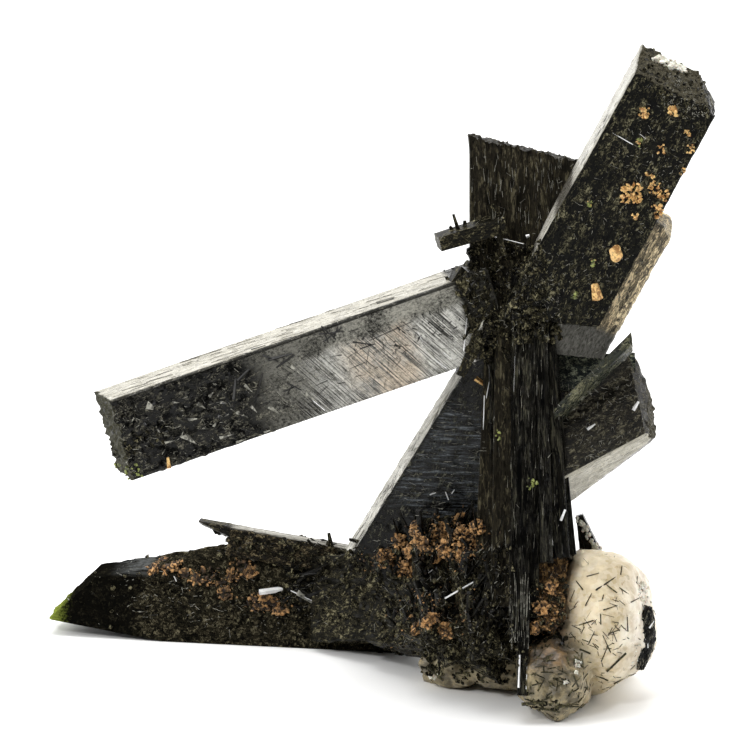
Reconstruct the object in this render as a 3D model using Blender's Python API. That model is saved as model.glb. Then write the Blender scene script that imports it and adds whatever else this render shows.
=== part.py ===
"""Aegirine crystal cluster: long black prisms grown through one another, with the feldspar that they grew on.

The cluster is drawn square to one line of sight, which looks down at it by SIGHT_TILT. A spot is given in
mm as across (to the right), up (along the view) and near (toward the viewer), from the foot of the matrix.
spot() turns it into the part's own frame: metres, +Z up, the cluster resting on the plane z = 0.
"""

import math
import random

import bmesh
import bpy
from mathutils import Matrix, Vector, noise

MM = 0.001
# Room left between a crystal and the feldspar that it stands in
GAP = 0.3
# Points closer than this, in metres, are one point
SLIVER = 0.000001
CUT_SLACK = 1e-7
# The exact solver leaves crystals that touch themselves along an edge where many faces cross
SOLVER = "MANIFOLD"
SIGHT_TILT = math.radians(18)

# The long beam that reaches left and toward the viewer
BEAM_WIDTH = 11.5
BEAM_DEPTH = 8.6
BEAM_ROOT = (-7.6, 54.3, 0.0)
BEAM_TIP = (-59.0, 36.5, 10.6)
BEAM_FACING = (0.07, -0.21, 0.97)

# The thick crystal to the upper right, cut at its broken end and square across the junction
UPPER_WIDTH = 12.5
UPPER_DEPTH = 9.0
UPPER_ROOT = (-2.2, 50.6, 1.0)
UPPER_TIP = (17.5, 86.4, 12.6)
UPPER_FACING = (0.09, -0.05, 0.99)
UPPER_END = (16.1, 83.9, 11.8)
UPPER_END_LEAN = 0.18
UPPER_CORNER = (20.6, 81.4, 11.8)
UPPER_BOTTOM = (0, 52.4, 0)

# The wider, flatter crystal grown behind it
BACKING_WIDTH = 10.0
BACKING_DEPTH = 7.0
BACKING_ROOT = (0.0, 46.4, -1.6)
BACKING_TIP = (11.5, 67.0, 4.2)
BACKING_FACING = (0.1, -0.05, 0.99)
BACKING_BOTTOM = (0, 48.3, 0)
BACKING_END = (15.2, 63.2, 3)

# The striated stub at the top, and the core of the column under it
STUB_WIDTH = 15.0
STUB_DEPTH = 7.0
STUB_ROOT = (-4.4, 51.0, -0.7)
STUB_TIP = (-4.4, 79.6, -1.5)
STUB_TOP = (-4.4, 76.1, -1.5)
CORE_WIDTH = 8.6
CORE_DEPTH = 6.5
CORE_ROOT = (-5.0, 58.0, -1.0)
CORE_TIP = (-4.6, 16.0, -1.5)

# The fan of upright blades: root, tip, width, depth, and how many ledges run along the front
COLUMN_BLADES = [
    ((-6.6, 61.0, -0.6), (-7.3, 14.5, 2.6), 3.4, 4.5, 3),
    ((-4.2, 59.0, 0.4), (-4.3, 13.0, 3.8), 4.0, 6.0, 2),
    ((-2.3, 57.0, 0.2), (-1.4, 20.5, 4.4), 1.9, 5.0, 1),
    ((-1.7, 55.0, 0.0), (0.6, 21.0, 3.4), 2.3, 5.0, 1),
    ((-1.1, 50.0, -0.2), (1.7, 21.4, 2.0), 2.0, 5.0, 1),
    ((-8.3, 49.0, -1.6), (-9.6, 19.0, 0.0), 3.2, 5.0, 2),
    ((-0.9, 23.0, 1.6), (-1.0, 10.6, 4.0), 4.6, 4.5, 3),
    ((-5.1, 22.5, 4.6), (-5.0, 9.8, 5.2), 2.9, 4.5, 2),
    ((-4.7, 15.0, 4.6), (-4.6, 2.6, 4.8), 1.8, 2.6, 0),
]

# The wedge that leans behind the column
WEDGE_WIDTH = 13.0
WEDGE_DEPTH = 7.0
WEDGE_ROOT = (-4.8, 48.3, -2.6)
WEDGE_TIP = (-23.3, 18.3, -16.5)
WEDGE_FACING = (-0.02, 0.01, 1)

# The stout crystal to the right of the column, with the faces that cut its end: a point on each, and its way
STOUT_WIDTH = 11.5
STOUT_DEPTH = 9.0
STOUT_ROOT = (-2.1, 36.2, -0.6)
STOUT_TIP = (13.0, 44.2, -2.6)
STOUT_FACING = (-0.175, 0.33, 0.93)
STOUT_FRONT_CUT = (10.8, 43.0, -2.4)
STOUT_END_CUTS = [
    ((12.9, 40.0, -4), (0.97, 0.12, 0.1)),
    ((11.7, 47.9, -4), (0.6, 0.8, 0.1)),
    ((13.4, 37.3, -4), (0.6, -0.8, 0.05)),
]
STOUT_BACK_WIDTH = 5.2
STOUT_BACK_DEPTH = 4.5
STOUT_BACK_ROOT = (-1.0, 46.0, -3.2)
STOUT_BACK_TIP = (10.6, 46.1, -4.2)
THIN_BLADE_WIDTH = 1.4
THIN_BLADE_DEPTH = 3.0
THIN_BLADE_ROOT = (-1.5, 39.3, 1.2)
THIN_BLADE_TIP = (10.4, 51.0, 2.8)
THIN_BLADE_END = (10.0, 50.7, 2.8)

# The long crystal that lies on the ground to the lower left: two spots on the ground along its front edge,
# and how far along it from the tip, and how high, the faces of its wedge-shaped end begin
LYING_HEIGHT = 12.0
LYING_DEPTH = 9.0
LYING_LEAN = 4.5
LYING_RIGHT = (-16.0, 25.0)
LYING_LEFT = (-70.7, 33.4)
LYING_TOP_START = 27.7
LYING_TOP_SLOPE = 0.22
LYING_TIP_START = 8.3
LYING_TIP_HEIGHT = 8.0
LYING_UNDER_START = 18.2
LYING_UNDER_SLOPE = 0.133
LYING_BACK_START = 7.0
SHELF_WIDTH = 1.9
SHELF_DEPTH = 4.6
SHELF_ROOT = (-26.5, 21.0, -25.5)
SHELF_TIP = (-48.4, 24.9, -29.3)
SHELF_END = (-45.2, 24.2, -29.0)
SHELF_FOOT_WIDTH = 4.0
SHELF_FOOT_DEPTH = 4.0
SHELF_FOOT_ROOT = (-25.5, 19.6, -25.0)
SHELF_FOOT_TIP = (-44.4, 23.0, -28.0)

# The knot of crystals at the base: root, tip, width, depth
BASE_KNOTS = [
    ((-33.0, 15.4, -25.6), (-4.0, 17.0, -2.0), 12.0, 8.5),
    ((-24.0, 21.5, -20.0), (-6.0, 24.0, -2.0), 8.0, 7.0),
    ((-25.0, 13.5, -18.0), (-6.0, 11.5, -0.5), 8.0, 8.0),
    ((-16.0, 26.5, -7.0), (-14.5, 10.5, -3.0), 6.0, 6.0),
    ((-22.5, 18.5, -14.0), (-10.5, 11.5, 0.0), 4.0, 4.0),
    ((-12.5, 22.0, -2.0), (-9.0, 8.5, 1.5), 4.2, 4.0),
    ((-20.0, 13.0, -9.0), (-8.0, 7.6, -2.0), 4.6, 5.0),
    ((-16.5, 16.0, -5.0), (-13.0, 7.4, -4.0), 3.6, 4.0),
]

# The small crystal that juts out left of the junction, and the spikes: root, tip, width
SIDE_WIDTH = 2.4
SIDE_DEPTH = 3.0
SIDE_ROOT = (-6.8, 65.6, 1.8)
SIDE_TIP = (-15.6, 62.9, 3.4)
SPIKES = [
    ((-13.0, 64.2, 2.2), (-13.9, 67.1, 2.4), 0.7),
    ((-12.4, 64.4, 1.8), (-12.3, 66.2, 2.0), 0.8),
    ((-13.4, 64.2, 1.6), (-14.4, 65.4, 1.8), 0.7),
    ((-8.9, 68.4, 2.0), (-7.0, 61.6, 2.6), 1.1),
    ((-12.0, 59.4, 1.6), (-13.6, 57.4, 2.4), 2.2),
    ((-7.0, 63.6, 1.0), (-1.8, 62.0, 1.4), 0.6),
    ((-12.4, 55.0, 1.6), (-10.6, 50.0, 2.2), 0.8),
    ((-30.2, 22.0, -25.6), (-30.6, 24.2, -25.4), 0.8),
]

# Rusty nodules: across, up and size of those on the lying crystal; those at the base have near as well
NODULE_SINK = 0.2
LYING_NODULES = [
    (-52.0, 20.0, 1.25), (-47.0, 18.7, 1.2), (-44.8, 16.6, 1.35), (-42.4, 19.6, 1.15),
    (-39.4, 14.6, 1.6), (-37.4, 14.3, 1.2), (-54.6, 19.2, 0.9),
]
BASE_NODULES = [
    (-22.8, 21.0, -15.4, 1.3), (-19.8, 19.6, -11.0, 1.5), (-17.8, 23.2, -8.4, 1.5), (-14.2, 23.8, -3.0, 2.0),
    (-12.0, 22.6, -1.0, 1.6), (-17.3, 12.9, -6.6, 1.3), (-14.9, 11.2, -3.6, 1.2), (-2.2, 14.4, 2.2, 1.4),
]

# The feldspar: its ball with a flat broken side, the foot in front, the heel behind, the lump and its neck
BALL_CENTRE = (5.6, 12.6, -5.0)
BALL_RADII = (7.6, 9.6, 9.6)
BALL_FLAT = (13.0, 14.0, -4.0)
FOOT_CENTRE = (-0.2, 5.2, 0.6)
FOOT_RADII = (5.4, 5.4, 5.2)
HEEL_CENTRE = (4.0, 8.4, -15.0)
HEEL_RADII = (6.5, 5.0, 6.0)
LUMP_CENTRE = (-12.2, 6.6, -12.0)
LUMP_RADII = (6.0, 3.3, 4.6)
NECK_CENTRE = (-4.5, 6.0, -9.0)
NECK_RADII = (9.0, 2.8, 4.6)
# The box round the feldspar, outside which no crystal needs a socket in it
FELDSPAR_LOW = (-28, -10, -5)
FELDSPAR_HIGH = (17, 30, 25)

# The glossy crystal in the ball's right edge, and the shard behind the ball
RIM_WIDTH = 3.6
RIM_DEPTH = 4.2
RIM_ROOT = (12.6, 14.5, -0.3)
RIM_TIP = (11.5, 5.9, -1.0)
SHARD_WIDTH = 3.4
SHARD_DEPTH = 2.0
SHARD_ROOT = (4.9, 20.2, -7.0)
SHARD_TIP = (3.0, 26.7, -6.4)


def spot(across, up, near):
    """A place given along the line of sight, in the part's own frame."""
    rise = math.sin(SIGHT_TILT)
    reach = math.cos(SIGHT_TILT)
    return Vector((across, up * rise - near * reach, up * reach + near * rise)) * MM


def toward(across, up, near):
    """A direction given along the line of sight, in the part's own frame."""
    return spot(across, up, near).normalized()


def crystal_frame(root, tip, facing):
    """Places a crystal: x across its broad face, y out of that face, z along it from root to tip."""
    along = (tip - root).normalized()
    out = (facing - along * facing.dot(along)).normalized()
    across = out.cross(along)
    turn = Matrix((across, out, along)).transposed().to_4x4()
    return Matrix.Translation(root) @ turn


def section(width, depth, corner, ledges, ledge_depth, chance):
    """Outline of a prism in mm, its broad face at y = 0, split into lengthwise ledges."""
    half = width / 2
    inner = half - corner
    points = [(-half, corner - depth), (-inner, -depth), (inner, -depth), (half, corner - depth)]
    points.append((half, -corner))
    edges = sorted(chance.uniform(-inner, inner) for _ in range(ledges))
    limits = [inner] + edges[::-1] + [-inner]
    level = 0.0
    for right, left in zip(limits, limits[1:]):
        points.append((right, -level))
        points.append((left, -level))
        level = chance.uniform(0.2, 1.0) * ledge_depth if level == 0.0 else 0.0
    points.append((-half, -corner))
    return points


def prism(root, tip, width, depth, facing=(0, 0, 1), corner=0.4, ledges=0, ledge_depth=0.3, taper=1, seed=1):
    """A straight crystal, its root and tip given at the middle of the broad face that looks along facing."""
    chance = random.Random(seed)
    start = spot(*root)
    end = spot(*tip)
    place = crystal_frame(start, end, toward(*facing))
    length = (end - start).length
    bm = bmesh.new()
    outline = section(width, depth, corner, ledges, ledge_depth, chance)
    base = bm.faces.new([bm.verts.new((x * MM, y * MM, 0)) for x, y in outline])
    made = bmesh.ops.extrude_face_region(bm, geom=[base])
    raised = [item for item in made["geom"] if isinstance(item, bmesh.types.BMVert)]
    bmesh.ops.translate(bm, vec=(0, 0, length), verts=raised)
    middle = Vector((0, -depth / 2 * MM, 0))
    for vert in raised:
        flat = Vector((vert.co.x, vert.co.y, 0)) - middle
        vert.co.x = flat.x * taper + middle.x
        vert.co.y = flat.y * taper + middle.y
    bmesh.ops.transform(bm, matrix=place, verts=bm.verts)
    bmesh.ops.recalc_face_normals(bm, faces=bm.faces)
    return bm


def slice_off(bm, point, normal):
    """Cuts away what lies beyond a plane and closes the cut with one face."""
    geometry = bm.verts[:] + bm.edges[:] + bm.faces[:]
    cut = bmesh.ops.bisect_plane(
        bm, geom=geometry, plane_co=point, plane_no=normal, clear_outer=True, dist=CUT_SLACK
    )
    rim = [item for item in cut["geom_cut"] if isinstance(item, bmesh.types.BMEdge)]
    if rim:
        bmesh.ops.contextual_create(bm, geom=rim)
        bmesh.ops.recalc_face_normals(bm, faces=bm.faces)


def break_end(bm, end, outward, across, cuts, roughness, seed=1):
    """Turns the flat end of a crystal into a rough break, by a grid of cuts moved in and out."""
    chance = random.Random(seed)
    outward = outward.normalized()
    facing_out = [face for face in bm.faces if face.normal.dot(outward) > 0.5]
    cap = min(facing_out, key=lambda face: (face.calc_center_median() - end).length)
    other = outward.cross(across).normalized()
    faces = [cap]
    for line, count in ((across.normalized(), cuts[0]), (other, cuts[1])):
        spread = [vert.co.dot(line) for face in faces for vert in face.verts]
        low = min(spread)
        step = (max(spread) - low) / (count + 1)
        for index in range(count):
            level = low + step * (index + 1 + chance.uniform(-0.3, 0.3))
            edges = {edge for face in faces for edge in face.edges}
            verts = {vert for face in faces for vert in face.verts}
            geometry = list(verts) + list(edges) + faces
            cut = bmesh.ops.bisect_plane(
                bm, geom=geometry, plane_co=line * level, plane_no=line, dist=CUT_SLACK
            )
            faces = [item for item in cut["geom"] if isinstance(item, bmesh.types.BMFace)]
    touched = {vert for face in faces for vert in face.verts}
    for vert in sorted(touched, key=lambda item: tuple(round(value, 7) for value in item.co)):
        vert.co += outward * chance.uniform(-1.0, 0.35) * roughness * MM
    bmesh.ops.triangulate(bm, faces=faces)


def keep(name, bm):
    """Stores a piece as a hidden guide for the Booleans, cut flat where it would reach below the ground."""
    slice_off(bm, Vector((0, 0, 0)), Vector((0, 0, -1)))
    mesh = bpy.data.meshes.new(name)
    bmesh.ops.recalc_face_normals(bm, faces=bm.faces)
    bmesh.ops.triangulate(bm, faces=bm.faces)
    bm.to_mesh(mesh)
    bm.free()
    guide = bpy.data.objects.new(name, mesh)
    guide.hide_render = True
    guide.display_type = "WIRE"
    bpy.context.scene.collection.objects.link(guide)
    return guide


def left_beam():
    """The long beam, with its broken end toward the viewer."""
    bm = prism(
        BEAM_ROOT, BEAM_TIP, BEAM_WIDTH, BEAM_DEPTH, facing=BEAM_FACING,
        corner=0.5, ledges=2, ledge_depth=0.15, seed=3,
    )
    end = spot(*BEAM_TIP)
    outward = end - spot(*BEAM_ROOT)
    break_end(bm, end, outward, toward(-0.3, 1, 0), cuts=(7, 4), roughness=1.1, seed=5)
    return [keep("beam_guide", bm)]


def upper_crystals():
    """The thick crystal to the upper right and the wider, flatter one grown behind it."""
    bm = prism(
        UPPER_ROOT, UPPER_TIP, UPPER_WIDTH, UPPER_DEPTH, facing=UPPER_FACING,
        corner=0.35, ledges=1, ledge_depth=0.12, seed=8,
    )
    along = spot(*UPPER_TIP) - spot(*UPPER_ROOT)
    end = spot(*UPPER_END)
    slice_off(bm, spot(*UPPER_BOTTOM), toward(-0.08, -1, 0.1))
    slice_off(bm, end, (along.normalized() + toward(0, 0, 1) * UPPER_END_LEAN).normalized())
    slice_off(bm, spot(*UPPER_CORNER), toward(0.9, 0.4, 0.1))
    break_end(bm, end, along, toward(0.87, -0.49, 0), cuts=(7, 4), roughness=1.2, seed=9)
    backing = prism(
        BACKING_ROOT, BACKING_TIP, BACKING_WIDTH, BACKING_DEPTH, facing=BACKING_FACING,
        corner=1.2, ledges=2, ledge_depth=0.2, seed=10,
    )
    slice_off(backing, spot(*BACKING_BOTTOM), toward(-0.1, -1, 0))
    slice_off(backing, spot(*BACKING_END), toward(0.95, 0.3, 0.2))
    return [keep("upper_guide", bm), keep("backing_guide", backing)]


def column():
    """The stub at the top and the fan of upright blades that widens down to the matrix."""
    stub = prism(
        STUB_ROOT, STUB_TIP, STUB_WIDTH, STUB_DEPTH, facing=(0.05, 0, 1),
        corner=0.3, ledges=6, ledge_depth=0.45, seed=12,
    )
    top = spot(*STUB_TOP)
    slice_off(stub, top, toward(0.24, 1, 0.05))
    break_end(stub, top, toward(0.24, 1, 0), Vector((1, 0, 0)), cuts=(9, 3), roughness=1.1, seed=13)
    made = [keep("stub_guide", stub)]
    for index, (root, tip, width, depth, ledges) in enumerate(COLUMN_BLADES):
        bm = prism(root, tip, width, depth, corner=0.25, ledges=ledges, ledge_depth=0.3, seed=20 + index)
        made.append(keep(f"blade_guide_{index}", bm))
    core = prism(CORE_ROOT, CORE_TIP, CORE_WIDTH, CORE_DEPTH, corner=1.0, seed=19)
    made.append(keep("column_core_guide", core))
    return made


def leaning_wedge():
    """The wide crystal that leans from the junction down to the lying one."""
    bm = prism(
        WEDGE_ROOT, WEDGE_TIP, WEDGE_WIDTH, WEDGE_DEPTH, facing=WEDGE_FACING,
        corner=0.3, ledges=2, ledge_depth=0.2, seed=31,
    )
    return [keep("wedge_guide", bm)]


def stout_crystal():
    """The short thick crystal to the right, its lower face toward the viewer, and the thin blade over it."""
    bm = prism(
        STOUT_ROOT, STOUT_TIP, STOUT_WIDTH, STOUT_DEPTH, facing=STOUT_FACING,
        corner=0.3, ledges=1, ledge_depth=0.2, seed=41,
    )
    along = (spot(*STOUT_TIP) - spot(*STOUT_ROOT)).normalized()
    slice_off(bm, spot(*STOUT_FRONT_CUT), (along * 0.8 + toward(0, 0, 1) * 0.6).normalized())
    for point, way in STOUT_END_CUTS:
        slice_off(bm, spot(*point), toward(*way))
    blade = prism(
        THIN_BLADE_ROOT, THIN_BLADE_TIP, THIN_BLADE_WIDTH, THIN_BLADE_DEPTH, facing=(-0.2, 0.2, 0.95),
        corner=0.2, seed=43,
    )
    slice_off(blade, spot(*THIN_BLADE_END), toward(0.95, 0.1, 0))
    behind = prism(
        STOUT_BACK_ROOT, STOUT_BACK_TIP, STOUT_BACK_WIDTH, STOUT_BACK_DEPTH, facing=(-0.1, 0.2, 0.95),
        corner=0.4, seed=44,
    )
    return [keep("stout_guide", bm), keep("thin_blade_guide", blade), keep("stout_back_guide", behind)]


def lying_ends():
    """The two ends of the lying crystal's front edge, on the ground."""
    return Vector((*LYING_RIGHT, 0)) * MM, Vector((*LYING_LEFT, 0)) * MM


def lying_crystal():
    """The long crystal on the ground, its tip cut by sloping faces, with a blade lying on it."""
    right, left = lying_ends()
    up = Vector((0, 0, 1))
    along = (left - right).normalized()
    out = up.cross(along)
    bm = bmesh.new()
    bmesh.ops.create_cube(bm, size=1.0)
    size = Vector(((left - right).length, LYING_DEPTH * MM, LYING_HEIGHT * MM))
    bmesh.ops.scale(bm, vec=size, verts=bm.verts)
    turn = Matrix((along, -out, up)).transposed().to_4x4()
    centre = (left + right) / 2 - out * LYING_DEPTH / 2 * MM + up * LYING_HEIGHT / 2 * MM
    bmesh.ops.transform(bm, matrix=Matrix.Translation(centre) @ turn, verts=bm.verts)
    bmesh.ops.recalc_face_normals(bm, faces=bm.faces)
    slice_off(bm, right, (out * LYING_HEIGHT + up * LYING_LEAN).normalized())
    crest = left - along * LYING_TOP_START * MM + up * LYING_HEIGHT * MM
    slice_off(bm, crest, (up + along * LYING_TOP_SLOPE).normalized())
    brow = left - along * LYING_TIP_START * MM + up * LYING_TIP_HEIGHT * MM
    slice_off(bm, brow, (up * 0.73 + along * 0.68).normalized())
    slice_off(bm, left - along * LYING_UNDER_START * MM, (along * LYING_UNDER_SLOPE - up).normalized())
    back = left - along * LYING_BACK_START * MM - out * LYING_DEPTH * MM
    slice_off(bm, back, (along * 0.6 - out).normalized())
    shelf = prism(
        SHELF_ROOT, SHELF_TIP, SHELF_WIDTH, SHELF_DEPTH, facing=(0, -0.3, 0.95),
        corner=0.2, ledges=1, seed=51,
    )
    slice_off(shelf, spot(*SHELF_END), toward(-0.45, -0.9, 0.1))
    foot = prism(
        SHELF_FOOT_ROOT, SHELF_FOOT_TIP, SHELF_FOOT_WIDTH, SHELF_FOOT_DEPTH, facing=(0, -0.1, 0.95),
        corner=0.5, ledges=1, seed=52,
    )
    return [keep("lying_guide", bm), keep("shelf_guide", shelf), keep("shelf_foot_guide", foot)]


def scatter(name, middle, spread, count, lean, lengths, seed):
    """Small blades strewn about a place, each leaning its own way from a common direction."""
    chance = random.Random(seed)
    made = []
    for index in range(count):
        root = Vector([value + chance.uniform(-1, 1) * reach for value, reach in zip(middle, spread)])
        swing = Vector([value + chance.uniform(-0.6, 0.6) for value in lean]).normalized()
        tip = root + swing * chance.uniform(*lengths)
        width = chance.uniform(0.9, 2.2)
        facing = (chance.uniform(-0.6, 0.6), chance.uniform(-0.4, 0.4), 1)
        depth = width * chance.uniform(1.0, 1.8)
        bm = prism(root, tip, width, depth, facing=facing, corner=0.2, taper=chance.uniform(0.6, 1.0))
        made.append(keep(f"{name}_{index}", bm))
    return made


def base_jumble():
    """The knot of crystals between the lying one, the wedge and the foot of the column."""
    made = []
    for index, (root, tip, width, depth) in enumerate(BASE_KNOTS):
        bm = prism(
            root, tip, width, depth, facing=(0.2, 0.1, 1),
            corner=0.6, ledges=2, ledge_depth=0.5, seed=60 + index,
        )
        made.append(keep(f"knot_guide_{index}", bm))
    made += scatter("base_blade", (-15.5, 17.5, -5), (8, 5.5, 4), 16, (0.1, 1, 0.5), (4, 9), seed=71)
    made += scatter("rubble_blade", (-29, 17.5, -24.5), (7, 3.5, 1), 10, (1, 0.3, 0.3), (3, 6), seed=72)
    return made


def junction():
    """Where the beam, the stub, the upper crystal and the column cross: small blades, ledges and spikes."""
    side = prism(SIDE_ROOT, SIDE_TIP, SIDE_WIDTH, SIDE_DEPTH, facing=(0.1, -0.3, 0.95), corner=0.3, seed=81)
    made = [keep("side_guide", side)]
    for index, (root, tip, width) in enumerate(SPIKES):
        bm = prism(root, tip, width, width * 1.3, corner=0.15, taper=0.7, seed=90 + index)
        made.append(keep(f"spike_guide_{index}", bm))
    made += scatter("knob", (-6.8, 56, 0.6), (4, 6, 1.2), 18, (0, -1, 0.35), (2.5, 6), seed=83)
    return made


def rough_ball(centre, radii, detail, roughness, grain, seed):
    """A lump: a ball stretched to its radii, its skin moved in and out by noise."""
    bm = bmesh.new()
    bmesh.ops.create_icosphere(bm, subdivisions=detail, radius=1.0)
    shift = Vector((7.3, 3.1, 5.7)) * seed
    middle = spot(*centre)
    for vert in bm.verts:
        swell = 1 + roughness * noise.noise(vert.co * grain + shift)
        across, up, near = (value * size * swell for value, size in zip(vert.co, radii))
        vert.co = middle + spot(across, up, near)
    return bm


def sight_meets(face_point, face_normal, across, up):
    """How near a face lies where the line of sight at across, up meets it, in mm."""
    start = spot(across, up, 0)
    sight = toward(0, 0, 1)
    return (face_point - start).dot(face_normal) / sight.dot(face_normal) / MM


def nodules():
    """Rusty nodules on the lying crystal and in the jumble at the base."""
    right, left = lying_ends()
    up = Vector((0, 0, 1))
    slope = (up.cross((left - right).normalized()) * LYING_HEIGHT + up * LYING_LEAN).normalized()
    places = []
    for across, rise, size in LYING_NODULES:
        near = sight_meets(right, slope, across, rise) - NODULE_SINK * size
        places.append((across, rise, near, size))
    made = []
    for index, (across, rise, near, size) in enumerate(places + BASE_NODULES):
        bm = rough_ball((across, rise, near), (size, size, size), 1, 0.5, 1.7, index + 1)
        made.append(keep(f"nodule_guide_{index}", bm))
    return made


def small_crystals():
    """The glossy crystal in the ball's right edge and the crusted shard behind the ball, each on its own."""
    rim = prism(
        RIM_ROOT, RIM_TIP, RIM_WIDTH, RIM_DEPTH, facing=(0.45, 0, 1),
        corner=0.5, ledges=2, ledge_depth=0.3, taper=0.8, seed=95,
    )
    shard = prism(
        SHARD_ROOT, SHARD_TIP, SHARD_WIDTH, SHARD_DEPTH, facing=(-0.1, 0, 1),
        corner=0.3, taper=0.3, seed=96,
    )
    return keep("rim_guide", rim), keep("shard_guide", shard)


def boolean(target, others, operation):
    """Adds a Boolean with a group of hidden pieces to an object."""
    group = bpy.data.collections.new(target.name + "_" + operation.lower())
    for other in others:
        group.objects.link(other)
    step = target.modifiers.new(operation.title(), "BOOLEAN")
    step.operation = operation
    step.operand_type = "COLLECTION"
    step.collection = group
    step.solver = SOLVER


def shells_of(bm):
    """The separate skins of a mesh, each a list of faces."""
    left = set(bm.faces)
    shells = []
    while left:
        first = left.pop()
        shell = [first]
        for face in shell:
            near = {other for vert in face.verts for other in vert.link_faces} & left
            left -= near
            shell.extend(near)
        shells.append(shell)
    return shells


def shell_volume(shell):
    """Volume inside a closed skin of triangles."""
    total = 0.0
    for face in shell:
        a, b, c = (vert.co for vert in face.verts)
        total += a.dot(b.cross(c)) / 6
    return abs(total)


def tidy(bm):
    """Merges slivers, and keeps the one outer shell."""
    bmesh.ops.remove_doubles(bm, verts=bm.verts, dist=SLIVER)
    bmesh.ops.dissolve_degenerate(bm, edges=bm.edges, dist=SLIVER)
    bmesh.ops.triangulate(bm, faces=bm.faces)
    shells = shells_of(bm)
    outer = max(shells, key=shell_volume)
    stray = [face for shell in shells if shell is not outer for face in shell]
    bmesh.ops.delete(bm, geom=stray, context="FACES")
    bmesh.ops.recalc_face_normals(bm, faces=bm.faces)


def settled(name, holder, colour, roughness):
    """A sub-part: a piece with its Booleans done and its slivers merged, as one closed mesh in one colour."""
    bm = bmesh.new()
    bm.from_object(holder, bpy.context.evaluated_depsgraph_get())
    tidy(bm)
    mesh = bpy.data.meshes.new(name)
    bm.to_mesh(mesh)
    bm.free()
    surface = bpy.data.materials.new(name)
    surface.use_nodes = True
    shader = surface.node_tree.nodes["Principled BSDF"]
    shader.inputs["Base Color"].default_value = (*colour, 1.0)
    shader.inputs["Roughness"].default_value = roughness
    shader.inputs["Metallic"].default_value = 0.0
    mesh.materials.append(surface)
    made = bpy.data.objects.new(name, mesh)
    bpy.context.scene.collection.objects.link(made)


def fattened(piece):
    """A hidden copy of a crystal that stands GAP proud of it on every side."""
    bm = bmesh.new()
    bm.from_mesh(piece.data)
    bm.normal_update()
    moved = [vert.co + vert.normal * vert.calc_shell_factor() * GAP * MM for vert in bm.verts]
    for vert, place in zip(bm.verts, moved):
        vert.co = place
    return keep(piece.name + "_socket", bm)


def near_feldspar(piece):
    """Whether a piece reaches into the box round the feldspar."""
    places = [vert.co / MM for vert in piece.data.vertices]
    return all(
        max(place[axis] for place in places) > FELDSPAR_LOW[axis]
        and min(place[axis] for place in places) < FELDSPAR_HIGH[axis]
        for axis in range(3)
    )


def feldspar_lumps():
    """The lumps that make up the cream matrix: ball, foot, left lump, its neck and the heel behind."""
    ball = rough_ball(BALL_CENTRE, BALL_RADII, 3, 0.16, 1.6, 1)
    slice_off(ball, spot(*BALL_FLAT), toward(0.9, 0.25, 0.3))
    foot = rough_ball(FOOT_CENTRE, FOOT_RADII, 2, 0.3, 2.0, 2)
    lump = rough_ball(LUMP_CENTRE, LUMP_RADII, 2, 0.3, 2.0, 3)
    neck = rough_ball(NECK_CENTRE, NECK_RADII, 2, 0.2, 2.0, 4)
    heel = rough_ball(HEEL_CENTRE, HEEL_RADII, 2, 0.2, 2.0, 5)
    return [keep(f"feldspar_guide_{index}", bm) for index, bm in enumerate((ball, foot, lump, neck, heel))]


for old in list(bpy.data.objects):
    bpy.data.objects.remove(old, do_unlink=True)

crystals = left_beam() + upper_crystals() + column() + leaning_wedge() + stout_crystal()
crystals += lying_crystal() + base_jumble() + junction() + nodules()
rim_guide, shard_guide = small_crystals()

lumps = feldspar_lumps()
boolean(lumps[0], lumps[1:], "UNION")
sockets = [fattened(piece) for piece in crystals + [rim_guide, shard_guide] if near_feldspar(piece)]
boolean(lumps[0], sockets, "DIFFERENCE")
settled("feldspar_matrix", lumps[0], colour=(0.72, 0.6, 0.45), roughness=0.6)

boolean(crystals[0], crystals[1:], "UNION")
settled("aegirine_cluster", crystals[0], colour=(0.02, 0.018, 0.014), roughness=0.15)
settled("rim_crystal", rim_guide, colour=(0.02, 0.02, 0.02), roughness=0.1)
settled("back_shard", shard_guide, colour=(0.03, 0.028, 0.02), roughness=0.4)
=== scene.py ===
"""The looks of the aegirine cluster: glossy black prisms grown through one another on a feldspar lump.

The cluster was drawn square to one line of sight, which looks down at it by SIGHT_TILT. A spot is given in
mm as across (to the right), up (along the view) and near (toward the viewer), from the foot of the matrix.
"""

import math
import random

import bmesh
import bpy
from mathutils import Matrix, Vector, noise
from mathutils.bvhtree import BVHTree


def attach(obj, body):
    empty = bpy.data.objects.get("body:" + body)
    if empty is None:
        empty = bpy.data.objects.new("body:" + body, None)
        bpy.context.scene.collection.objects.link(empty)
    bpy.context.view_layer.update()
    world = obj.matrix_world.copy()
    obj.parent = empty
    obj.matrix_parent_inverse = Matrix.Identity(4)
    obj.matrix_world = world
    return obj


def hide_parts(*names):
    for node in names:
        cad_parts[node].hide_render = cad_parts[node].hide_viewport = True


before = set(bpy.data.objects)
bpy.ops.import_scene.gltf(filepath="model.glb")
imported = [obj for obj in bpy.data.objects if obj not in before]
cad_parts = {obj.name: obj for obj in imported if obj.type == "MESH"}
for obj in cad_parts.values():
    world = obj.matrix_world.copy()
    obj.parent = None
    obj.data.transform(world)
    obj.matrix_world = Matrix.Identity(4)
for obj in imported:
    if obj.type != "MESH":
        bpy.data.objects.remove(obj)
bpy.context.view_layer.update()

# The line of sight, the camera on it, and a pale studio floor under soft light: bright behind and above the
# cluster, so that faces seen at a slant shine pale, and dim in front, so that the broad faces stay black.
MM = 0.001
SIGHT_TILT = math.radians(18)
VIEW_MIDDLE = (-24.39, 46.16, 0.0)
VIEW_WIDTH = 100.5
LENS = 1200.0
SENSOR = 36.0
FLOOR_RADIUS = 4.0


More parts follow.
